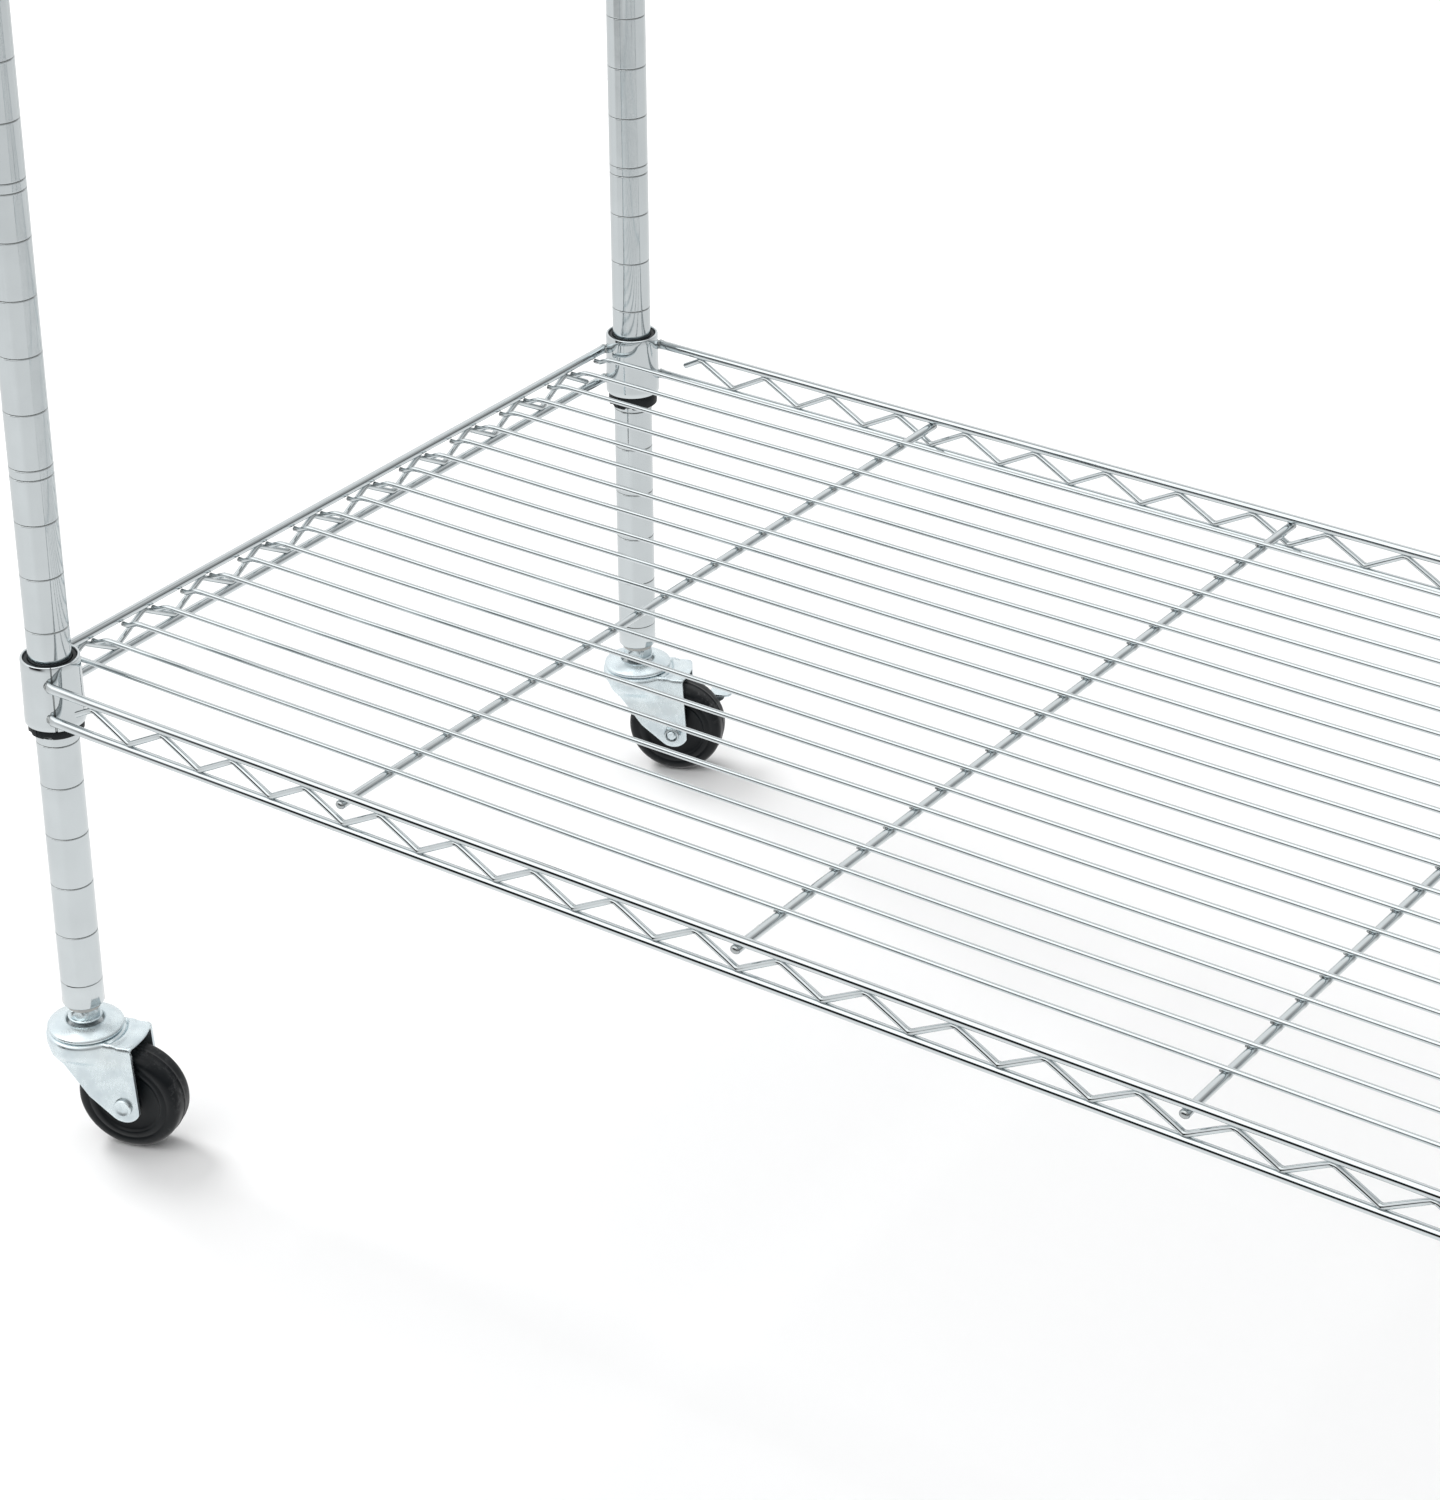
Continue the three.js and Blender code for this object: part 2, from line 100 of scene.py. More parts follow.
class Shell:
    """Points and faces of one piece. The per-point wear_and_shade value marks welds and cut ends (1), worn
    tread and zigzag bends, and painted shade: post grooves, the stem's recess, rivet-head rims, lock rings
    and deck-wire ends under the side wires. It is 0 elsewhere.
    """

    def __init__(self):
        self.points = []
        self.faces = []
        self.wear_and_shade = []

    def grid(self, rows, closed_rows=False, wear_and_shade=None, flip=False, ends=False):
        """A sheet of quads over rings of points. closed_rows joins the last ring to the first, and ends
        closes both with a face each."""
        base, width, height = len(self.points), len(rows[0]), len(rows)
        for j, row in enumerate(rows):
            self.points.extend(row)
            self.wear_and_shade.extend([wear_and_shade[j] if wear_and_shade else 0.0] * width)
        for j in range(height if closed_rows else height - 1):
            for i in range(width):
                a, b = base + j * width + i, base + j * width + (i + 1) % width
                c, d = (base + (j + 1) % height * width + k for k in ((i + 1) % width, i))
                self.faces.append((a, d, c, b) if flip else (a, b, c, d))
        if ends:
            first, last = (tuple(range(start, start + width)) for start in (base, len(self.points) - width))
            self.faces.append(first if flip else first[::-1])
            self.faces.append(last[::-1] if flip else last)
        return base

    def tube(self, path, radii, sides=14, squash=None, wear_and_shade=None, side=None):
        """A round bar along a path, closed at both ends. squash, per point, flattens it sideways."""
        rows = []
        normal = side or sideways(path[1] - path[0])
        for k, point in enumerate(path):
            ahead = (path[min(k + 1, len(path) - 1)] - path[max(k - 1, 0)]).normalized()
            normal = (normal - ahead * normal.dot(ahead)).normalized()
            binormal = ahead.cross(normal)
            radius = radii[k] if isinstance(radii, (list, tuple)) else radii
            flat = squash[k] if squash else 1.0
            rows.append([
                point + normal * (radius * flat * math.cos(t)) + binormal * (radius / flat * math.sin(t))
                for t in (TAU * i / sides for i in range(sides))
            ])
        self.grid(rows, wear_and_shade=wear_and_shade, ends=True)

    def lathe(self, profile, segments=48, place=Matrix.Identity(4), closed=False, wear_and_shade=None):
        """A solid turned about Z. The profile is (radius, z) upwards along the outside. It closes on
        itself if closed is set, and otherwise starts and ends on the axis, where a face closes it."""
        rows = [
            [place @ Vector((r * math.cos(t), r * math.sin(t), z))
             for t in (TAU * i / segments for i in range(segments))]
            for r, z in profile
        ]
        self.grid(rows, closed_rows=closed, wear_and_shade=wear_and_shade, ends=not closed)

    def slab(self, outline, thickness, place=Matrix.Identity(4), edge=0.3 * MM):
        """A plate in X and Z with a rounded edge, its thickness centred on Y = 0."""
        loops = []
        for inset, y in edge_steps(thickness / 2, edge):
            loops.append([place @ Vector((x, y, z)) for x, z in offset_loop(outline, -inset)])
        self.grid(loops, flip=True, ends=True)

    def blob(self, centre, size, seed, sides=10):
        """A weld bead: a small lumpy ball."""
        shape = random.Random(seed)
        rows = []
        for j in range(1, 6):
            polar = math.pi * j / 6
            rows.append([
                centre + Vector((
                    size[0] * math.sin(polar) * math.cos(TAU * i / sides),
                    size[1] * math.sin(polar) * math.sin(TAU * i / sides),
                    size[2] * math.cos(polar),
                )) * shape.uniform(0.86, 1.1)
                for i in range(sides)
            ])
        self.grid(rows, wear_and_shade=[1.0] * len(rows), flip=True, ends=True)


def sideways(direction):
    """A unit vector square to a direction, level where that can be."""
    flat = UP.cross(direction)
    return flat.normalized() if flat.length > 1e-6 * direction.length else Vector((1, 0, 0))


def edge_steps(half, radius, steps=4):
    """(inset, y) pairs that round both edges of a plate, from -half to half."""
    quarter = [math.pi / 2 * k / steps for k in range(steps + 1)]
    near = [(radius * (1 - math.sin(t)), -half + radius * (1 - math.cos(t))) for t in quarter]
    return near + [(inset, -y) for inset, y in reversed(near)]


def offset_loop(loop, distance):
    """A closed outline, counter-clockwise, moved outwards by a distance."""
    moved = []
    count = len(loop)
    for i, (x, z) in enumerate(loop):
        (x0, z0), (x1, z1) = loop[i - 1], loop[(i + 1) % count]
        before, after = Vector((x - x0, z - z0)), Vector((x1 - x, z1 - z))
        before.normalize()
        after.normalize()
        normal = Vector((before.y + after.y, -before.x - after.x))
        normal.normalize()
        miter = max(0.5, normal.dot(Vector((after.y, -after.x))))
        moved.append((x + normal.x * distance / miter, z + normal.y * distance / miter))
    return moved


def round_corner(before, here, after, radius, steps):
    """Points of a smooth curve in place of a corner. It takes up less than half of each side."""
    back, ahead = before - here, after - here
    wanted = radius / max(math.tan(back.angle(ahead) / 2), 1e-3)
    reach = min(wanted, back.length / 2.05, ahead.length / 2.05)
    start, end = here + back.normalized() * reach, here + ahead.normalized() * reach
    shares = (k / steps for k in range(steps + 1))
    return [start * (1 - t) ** 2 + here * 2 * t * (1 - t) + end * t ** 2 for t in shares]


def rounded_loop(corners, radius, steps=5):
    """A closed outline with its corners rounded. A corner may carry its own radius as a third value."""
    loop = []
    places = [Vector(corner[:2]) for corner in corners]
    for i, corner in enumerate(corners):
        size = corner[2] if len(corner) > 2 else radius
        after = places[(i + 1) % len(places)]
        loop.extend(tuple(p) for p in round_corner(places[i - 1], places[i], after, size, steps))
    return loop


def rounded_path(corners, radius, steps=6, run=None):
    """An open path with its inner corners rounded. run is the most that a straight stretch may span."""
    path = [corners[0]]
    for before, here, after in zip(corners, corners[1:], corners[2:]):
        path.extend(round_corner(before, here, after, radius, steps))
    path.append(corners[-1])
    if not run:
        return path
    dense = [path[0]]
    for a, b in zip(path, path[1:]):
        pieces = max(1, math.ceil((b - a).length / run))
        dense.extend(a.lerp(b, k / pieces) for k in range(1, pieces + 1))
    return dense


def make_piece(name, shell, material, nodes=None, sharp=35):
    """Turns a shell into an object that stands for its CAD nodes and rides on their body."""
    nodes = nodes or [name]
    mesh = bpy.data.meshes.new(name)
    mesh.from_pydata(shell.points, [], shell.faces)
    mesh.validate()
    wear_and_shade = mesh.attributes.new("wear_and_shade", "FLOAT", "POINT")
    wear_and_shade.data.foreach_set("value", shell.wear_and_shade)
    mesh.materials.append(material)
    mesh.shade_smooth()
    mesh.set_sharp_from_angle(angle=math.radians(sharp))
    piece = bpy.data.objects.new(f"fine_{name}", mesh)
    bpy.context.scene.collection.objects.link(piece)
    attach(piece, BODY_OF[nodes[0]])
    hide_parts(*nodes)
    return piece


BODY_OF = {
    node: body
    for body, nodes in frame["record"]["behaviour"]["bodies"].items()
    for node in nodes
}


def middle(node):
    low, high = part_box(node)
    return (low + high) / 2


# ---- materials -------------------------------------------------------------------------------

class Nodes:
    """Short calls for building the nodes of a material or of the world."""

    def __init__(self, owner):
        owner.use_nodes = True
        self.owner = owner
        self.tree = owner.node_tree
        self.place = self.add("ShaderNodeTexCoord").outputs["Object"]
        self.shader = self.tree.nodes.get("Principled BSDF")

    def add(self, kind, **settings):
        node = self.tree.nodes.new(kind)
        for key, value in settings.items():
            setattr(node, key, value)
        return node

    def link(self, source, target):
        self.tree.links.new(source, target)

    def stretched(self, scale):
        mapping = self.add("ShaderNodeMapping")
        mapping.inputs["Scale"].default_value = scale
        self.link(self.place, mapping.inputs["Vector"])
        return mapping.outputs["Vector"]

    def feed(self, socket, value):
        """Gives a socket a number, a colour or a link."""
        if isinstance(value, (int, float)):
            socket.default_value = value
        elif isinstance(value, tuple):
            socket.default_value = (*value, 1)
        else:
            self.link(value, socket)

    def wired(self, kind, output, inputs, **settings):
        """A new node with its inputs fed, by name or number. Returns one of its outputs."""
        node = self.add(kind, **settings)
        for key, value in inputs.items():
            self.feed(node.inputs[key], value)
        return node.outputs[output]

    def noise(self, scale, detail=3.0, roughness=0.5, vector=None):
        inputs = {"Scale": scale, "Detail": detail, "Roughness": roughness, "Vector": vector or self.place}
        return self.wired("ShaderNodeTexNoise", "Fac", inputs)

    def ranged(self, value, low, high, to_low, to_high):
        inputs = {"Value": value, "From Min": low, "From Max": high, "To Min": to_low, "To Max": to_high}
        return self.wired("ShaderNodeMapRange", "Result", inputs)

    def math(self, operation, a, b):
        return self.wired("ShaderNodeMath", "Value", {0: a, 1: b}, operation=operation)

    def mix(self, factor, first, second):
        inputs = {"Factor": factor, 6: first, 7: second}
        return self.wired("ShaderNodeMix", 2, inputs, data_type="RGBA")

    def ramp(self, value, stops):
        """Greys between (position, brightness) stops. Brightness may be up to 2."""
        node = self.add("ShaderNodeValToRGB")
        elements = node.color_ramp.elements
        while len(elements) < len(stops):
            elements.new(0.5)
        for element, (position, brightness) in zip(elements, stops):
            element.position = position
            element.color = (brightness / 2, brightness / 2, brightness / 2, 1)
        self.link(value, node.inputs["Fac"])
        return self.math("MULTIPLY", node.outputs["Color"], 2.0)

    def blend(self, factor, first, second):
        return self.wired("ShaderNodeMix", "Result", {"Factor": factor, "A": first, "B": second})

    def attribute(self, name):
        return self.add("ShaderNodeAttribute", attribute_name=name).outputs["Fac"]

    def bump(self, height, distance, strength=1.0, under=None):
        inputs = {"Distance": distance, "Strength": strength, "Height": height}
        if under:
            inputs["Normal"] = under
        return self.wired("ShaderNodeBump", "Normal", inputs)

    def use(self, socket, value):
        self.feed(self.shader.inputs[socket], value)


def chrome_material(name, tint, dull_and_shade_tint, roughness, ripple, draw=(1, 1, 1)):
    """Bright plating: faint waviness along the drawn metal, fine handling marks, duller at welds, and
    darkened as painted shade in the post grooves and at the deck wires' tucked-in ends.
    """
    n = Nodes(bpy.data.materials.new(name))
    wear_and_shade = n.attribute("wear_and_shade")
    cloud = n.noise(55, 3)
    streaks = n.noise(900, 2, vector=n.stretched(draw))
    specks = n.ranged(n.noise(2600, 2), 0.62, 0.75, 0, 1)
    tone = n.mix(n.ranged(cloud, 0.35, 0.7, 0, 1), tint, tuple(c * 0.955 for c in tint))
    tone = n.mix(n.math("MULTIPLY", specks, 0.25), tone, tuple(c * 0.8 for c in tint))
    # Welds and cut ends take the darker tint, and so does the painted shade in grooves and at tucked-in
    # wire ends.
    n.use("Base Color", n.mix(wear_and_shade, tone, dull_and_shade_tint))
    n.use("Metallic", 1.0)
    sheen = n.ranged(cloud, 0.3, 0.7, roughness * 0.8, roughness * 1.35)
    gloss = n.math("ADD", sheen, n.math("MULTIPLY", wear_and_shade, 0.2))
    n.use("Roughness", n.math("ADD", gloss, n.ranged(streaks, 0.45, 0.75, 0, 0.05)))
    waves = n.bump(n.noise(130, 2), ripple, 0.5)
    n.use("Normal", n.bump(streaks, 0.006 * MM, 0.6, under=waves))
    return n.owner


def zinc_material(name):
    """Zinc plate on stamped steel: slightly blue, cloudy, with fine rolling marks."""
    n = Nodes(bpy.data.materials.new(name))
    cloud = n.noise(120, 4, 0.6)
    blotch = n.noise(38, 2)
    grain = n.noise(1500, 3, vector=n.stretched((1, 1, 0.25)))
    tone = n.mix(n.ranged(cloud, 0.35, 0.68, 0, 1), (0.80, 0.89, 0.92), (0.70, 0.79, 0.83))
    tone = n.mix(n.ranged(blotch, 0.55, 0.75, 0, 0.5), tone, (0.84, 0.89, 0.88))
    # Painted shade: where wear_and_shade is set, the zinc turns a dark grey, in the stem's recess, round
    # the rivet heads' rims and on the lock rings.
    n.use("Base Color", n.mix(n.attribute("wear_and_shade"), tone, (0.42, 0.45, 0.46)))
    n.use("Metallic", 0.85)
    sheen = n.ranged(cloud, 0.3, 0.7, 0.20, 0.33)
    n.use("Roughness", n.math("ADD", sheen, n.ranged(grain, 0.4, 0.7, 0, 0.08)))
    n.use("Normal", n.bump(grain, 0.02 * MM, 0.5, under=n.bump(blotch, 0.15 * MM, 0.5)))
    return n.owner


def rubber_material(name):
    """Hard black rubber: grey scuffs where the wheel rolls, a fine moulded skin."""
    n = Nodes(bpy.data.materials.new(name))
    scuff = n.ranged(n.noise(420, 5, 0.7), 0.5, 0.72, 0, 1)
    smear = n.ranged(n.noise(70, 3), 0.42, 0.68, 0, 1)
    worn = n.math("MULTIPLY", n.math("MULTIPLY", scuff, smear), n.attribute("wear_and_shade"))
    cloud = n.ranged(n.noise(90, 3), 0.35, 0.7, 0, 1)
    tone = n.mix(cloud, (0.003, 0.005, 0.007), (0.007, 0.01, 0.012))
    n.use("Base Color", n.mix(worn, tone, (0.13, 0.13, 0.135)))
    n.use("Roughness", n.math("ADD", n.ranged(smear, 0, 1, 0.34, 0.5), n.math("MULTIPLY", worn, 0.25)))
    n.use("Specular IOR Level", 0.28)
    skin = n.bump(n.noise(2400, 3), 0.03 * MM, 0.5)
    n.use("Normal", n.bump(scuff, 0.05 * MM, 0.35, under=skin))
    return n.owner


def plastic_material(name, tone, dark, roughness, specular=0.5):
    """Moulded plastic: a fine spark-eroded skin with slow changes of sheen."""
    n = Nodes(bpy.data.materials.new(name))
    cloud = n.noise(160, 3)
    skin = n.noise(3200, 3, 0.6)
    n.use("Base Color", n.mix(n.ranged(cloud, 0.35, 0.7, 0, 1), tone, dark))
    n.use("Roughness", n.math("ADD", n.ranged(cloud, 0.3, 0.7, roughness, roughness + 0.12),
                              n.ranged(skin, 0.4, 0.7, 0, 0.08)))
    n.use("Specular IOR Level", specular)
    n.use("Normal", n.bump(skin, 0.03 * MM, 0.5))
    return n.owner


# The second tint darkens welds and cut ends, and it also paints shade into post grooves and tucked-in
# deck-wire ends.
CHROME_TINT, WELD_AND_SHADE_TINT = (0.655, 0.70, 0.715), (0.36, 0.38, 0.38)
TUBE = chrome_material("chrome_tube", CHROME_TINT, WELD_AND_SHADE_TINT, 0.08, 0.04 * MM, draw=(1, 1, 0.03))
WIRE = chrome_material("chrome_wire", CHROME_TINT, WELD_AND_SHADE_TINT, 0.05, 0.003 * MM, draw=(0.05, 1, 1))
ZINC = zinc_material("zinc_steel")
RUBBER = rubber_material("black_rubber")
BLACK = plastic_material("black_plastic", (0.013, 0.017, 0.019), (0.019, 0.023, 0.025), 0.34, 0.2)
GREY = plastic_material("grey_plastic", (0.56, 0.56, 0.54), (0.48, 0.48, 0.47), 0.42)


# ---- posts -----------------------------------------------------------------------------------

def groove_heights(top):
    """Heights of a post's grooves, up from the lowest."""
    heights = []
    index = 0
    while FIRST_GROOVE + index * GROOVE_PITCH < top - PLAIN_TOP:
        height = FIRST_GROOVE + index * GROOVE_PITCH
        heights.append(height)
        if index and index % DOUBLE_EVERY == 0:
            heights.append(height - DOUBLE_GAP)
        index += 1
    return sorted(heights)


def make_post(corner):
    """A plated tube with a rolled groove every inch, its ends rounded and its bore open."""
    name = f"post_{corner}"
    low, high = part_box(name)
    x, y = middle(name).xy
    radius = (high.x - low.x) / 2
    wall = 1.2 * MM
    lip = 0.4 * MM
    profile = [(radius - wall, low.z + lip), (radius - wall + lip, low.z), (radius - lip, low.z),
               (radius - lip * 0.3, low.z + lip * 0.3), (radius, low.z + lip)]
    for height in groove_heights(high.z):
        deep = GROOVE_DEPTH * (FAINT_GROOVE if height < FIRST_GROOVE + 1 * MM else 1)
        for offset, depth in GROOVE_SHAPE:
            profile.append((radius - deep * depth, height + offset * GROOVE_HALF))
    profile += [(radius, high.z - lip), (radius - lip, high.z), (radius - wall, high.z)]
    # Painted shade: the deeper part of each groove takes the dark wear_and_shade tint so the grooves read
    # as dark lines.
    wear_and_shade = []
    for r, z in profile:
        in_groove = lip < r - radius + wall and r < radius - 0.1 * MM
        wear_and_shade.append(0.9 if in_groove and low.z + lip < z < high.z - lip else 0.0)
    shell = Shell()
    shell.lathe(profile, 72, Matrix.Translation((x, y, 0)), closed=True, wear_and_shade=wear_and_shade)
    make_piece(name, shell, TUBE, sharp=50)


def make_cap(corner):
    """A moulded cap: a shallow dome on a rounded flange, its ribbed plug inside the tube."""
    name = f"cap_{corner}"
    low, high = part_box(name)
    x, y = middle(name).xy
    flange = 9.6 * MM
    seat = high.z - 4.2 * MM
    profile = [(0.1 * MM, low.z), (6.6 * MM, low.z)]
    for k in range(4):
        base = low.z + (0.6 + 2.6 * k) * MM
        profile += [(7.2 * MM, base), (8.0 * MM, base + 0.9 * MM),
                    (8.0 * MM, base + 1.5 * MM), (7.2 * MM, base + 2.2 * MM)]
    profile += [(8.0 * MM, seat), (flange - 0.3 * MM, seat),
                (flange, seat + 0.3 * MM), (flange, seat + 1.1 * MM)]
    for k in range(1, 13):
        angle = math.pi / 2 * k / 12
        r = max(flange * math.cos(angle) ** 0.8, 0.1 * MM)
        profile.append((r, seat + (1.1 + 3.1 * math.sin(angle)) * MM))
    shell = Shell()
    shell.lathe(profile, 48, Matrix.Translation((x, y, 0)))
    make_piece(name, shell, BLACK)


def make_insert(corner):
    """The socket pressed into the post's foot, with a rounded lip and a threaded bore."""
    name = f"insert_{corner}"
    low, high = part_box(name)
    x, y = middle(name).xy
    bore, outer = 5.0 * MM, (high.x - low.x) / 2
    profile = [(bore + 0.4 * MM, low.z), (outer - 0.9 * MM, low.z), (outer - 0.45 * MM, low.z + 0.15 * MM),
               (outer - 0.25 * MM, low.z + 0.6 * MM), (outer, low.z + 2.2 * MM),
               (outer, high.z - 0.6 * MM), (outer - 0.6 * MM, high.z), (bore, high.z)]
    turns = 14
    for k in range(turns):
        top = high.z - (1.0 + 1.5 * k) * MM
        profile += [(bore, top), (bore + 0.35 * MM, top - 0.4 * MM), (bore, top - 0.8 * MM)]
    shell = Shell()
    shell.lathe(profile, 40, Matrix.Translation((x, y, 0)), closed=True)
    make_piece(name, shell, GREY)


# ---- shelves ---------------------------------------------------------------------------------

def straight_wire(shell, start, end, radius, spacing, pinch=0.78, wobble=0.06 * MM, blend=6 * MM):
    """A drawn wire, very slightly wavy, pinched and dulled over its last few millimetres."""
    length = (end - start).length
    count = max(8, round(length / spacing))
    ease = [0, 0.06 * MM, 0.25 * MM, 0.7 * MM, 2 * MM, 4 * MM]
    inner = [k * length / count for k in range(1, count)]
    inner = [s for s in inner if 5 * MM < s < length - 5 * MM]
    stations = sorted(set(ease + [length - e for e in ease] + inner))
    phase = random.uniform(0, TAU)
    path, radii, squash, wear_and_shade = [], [], [], []
    for s in stations:
        reach = min(s, length - s)
        bow = wobble * math.sin(TAU * s / (150 * MM) + phase) * min(1, reach / (20 * MM))
        path.append(start.lerp(end, s / length) + UP * bow)
        radii.append(radius * math.sqrt(min(1, 0.35 + reach / (0.7 * MM))))
        squash.append(pinch + (1 - pinch) * min(1, reach / blend))
        wear_and_shade.append(max(0, 0.7 - reach / (5 * MM)))
    shell.tube(path, radii, 16, squash, wear_and_shade)


def zigzag(shell, along, place, foot, step, legs, stub):
    """The zigzag wire, its bends rounded and pressed a little flat where they are welded. Its first and
    last legs are cut off at a share of their length."""
    corners = [place + along * (foot + k * step) + UP * (-SNAKE_APEX if k % 2 == 0 else SNAKE_APEX)
               for k in range(legs + 1)]
    corners[0] = corners[1].lerp(corners[0], stub)
    corners[-1] = corners[-2].lerp(corners[-1], stub)
    path = rounded_path(corners, SNAKE_BEND, 7, run=4 * MM)
    wear_and_shade, squash = [], []
    for point in path:
        height = abs((point - place).z)
        near = max(0, (height - SNAKE_APEX * 0.72) / (SNAKE_APEX * 0.28))
        wear_and_shade.append(0.45 * near)
        squash.append(1 + 0.12 * near)
    shell.tube(path, SNAKE_RADIUS, 12, squash, wear_and_shade, side=along.cross(UP))


def truss_wires(shell, node, along, across_offset, start, end, foot, step, stub):
    """Top wire, bottom wire and zigzag of one side. Lengths run from the post axis at start."""
    low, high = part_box(node.split("_")[0] + "_front_truss" if node.endswith("end") else node)
    top, bottom = high.z - TRUSS_RADIUS, low.z + TRUSS_RADIUS
    span = (end - start).length
    reach = 8.6 * MM
    for height in (top, bottom):
        a = start + along * reach + across_offset + UP * height
        b = end - along * reach + across_offset + UP * height
        straight_wire(shell, a, b, TRUSS_RADIUS, 26 * MM)
        for k, tip in enumerate((a, b)):
            inward = -across_offset.normalized()
            seed = hash_of(node, height, k)
            run = tip + inward * 0.8 * MM - UP * 1.5 * MM
            shell.blob(tip + inward * 0.5 * MM, Vector((2.3, 2.3, 2.1)) * MM, seed)
            shell.blob(run, Vector((1.0, 1.0, 0.9)) * MM, seed + 1)
    legs = 2 * math.floor((span - 10.3 * MM - foot) / step / 2)
    zigzag(shell, along, start + across_offset + UP * (top + bottom) / 2, foot, step, legs, stub)


def hash_of(text, *numbers):
    """A small whole number that is the same in every run."""
    value = sum(ord(letter) * (i + 3) for i, letter in enumerate(text))
    return value + sum(round(number * 1e4) * 7 for number in numbers)


def post_axis(corner):
    return Vector((*middle(f"post_{corner}").xy, 0))


def make_long_truss(shelf, side):
    node = f"{shelf}_{side}_truss"
    row = "f" if side == "front" else "b"
    start, end = post_axis(row + "l"), post_axis(row + "r")
    offset = Vector((0, middle(node).y - start.y, 0))
    shell = Shell()
    truss_wires(shell, node, Vector((1, 0, 0)), offset, start, end, LONG_FOOT, LONG_STEP, LONG_STUB)
    make_piece(node, shell, WIRE)


def collar(shell, axis, low, high, seam):
    """A rolled, slightly tapered collar with soft rims. Its open butt seam lies under the welds and
    gapes a little at the bottom."""
    rim = 0.7 * MM
    bottom_radius, top_radius, wall = 13.4 * MM, 13.0 * MM, 1.3 * MM
    profile = [(bottom_radius - wall, low + rim), (bottom_radius - wall * 0.75, low + 0.15 * MM),
               (bottom_radius - wall * 0.4, low), (bottom_radius - 0.15 * MM, low + 0.12 * MM),
               (bottom_radius, low + 0.5 * MM)]
    for k in range(1, 14):
        share = k / 14
        profile.append((bottom_radius + (top_radius - bottom_radius) * share,
                        low + 0.5 * MM + (high - low - 1.2 * MM) * share))
    profile += [(top_radius, high - rim), (top_radius - 0.12 * MM, high - 0.25 * MM),
                (top_radius - 0.5 * MM, high), (top_radius - wall * 0.8, high - 0.12 * MM),
                (top_radius - wall, high - rim)]
    seam_steps = (-3, -1.9, -1.35, -1, 0, 1, 1.35, 1.9, 3)
    seam_depths = (0, 0, 0.25, 1, 1, 1, 0.25, 0, 0)
    plain = 88
    rows = []
    for radius, z in profile:
        half = 0.014 * (1 + 0.9 * max(0, 1 - (z - low) / (6 * MM)))
        outside = radius > bottom_radius - wall * 0.6
        columns = [(half * step, depth) for step, depth in zip(seam_steps, seam_depths)]
        columns += [(0.12 + (TAU - 0.24) * k / plain, 0) for k in range(plain + 1)]
        row = []
        for gap, depth in columns:
            near = math.exp(-(math.remainder(gap, TAU) / 0.25) ** 2)
            reach = radius + 0.1 * MM * near - (0.75 * MM * depth if outside else 0)
            row.append(axis + Vector((reach * math.cos(seam + gap), reach * math.sin(seam + gap), z)))
        rows.append(row)
    base = shell.grid(rows, closed_rows=True)
    for j in range(len(rows)):
        for i, depth in enumerate(seam_depths):
            shell.wear_and_shade[base + j * len(rows[0]) + i] = float(depth == 1)


def make_end(shelf, side):
    node = f"{shelf}_{side}_end"
    column = side[0]
    start, end = post_axis("f" + column), post_axis("b" + column)
    outward = -1 if side == "left" else 1
    offset = Vector((outward * 11 * MM, 0, 0))
    low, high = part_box(node)
    shell = Shell()
    truss_wires(shell, node, Vector((0, 1, 0)), offset, start, end, SIDE_FOOT, SIDE_STEP, SIDE_STUB)
    for axis, forward in ((start, -1), (end, 1)):
        collar(shell, axis, low.z, high.z, math.atan2(forward, -outward))
    make_piece(node, shell, WIRE)


def deck_rows(middle_y):
    """Where the deck wires lie across the shelf."""
    return [middle_y + (i - (DECK_WIRES - 1) / 2) * DECK_PITCH for i in range(DECK_WIRES)]


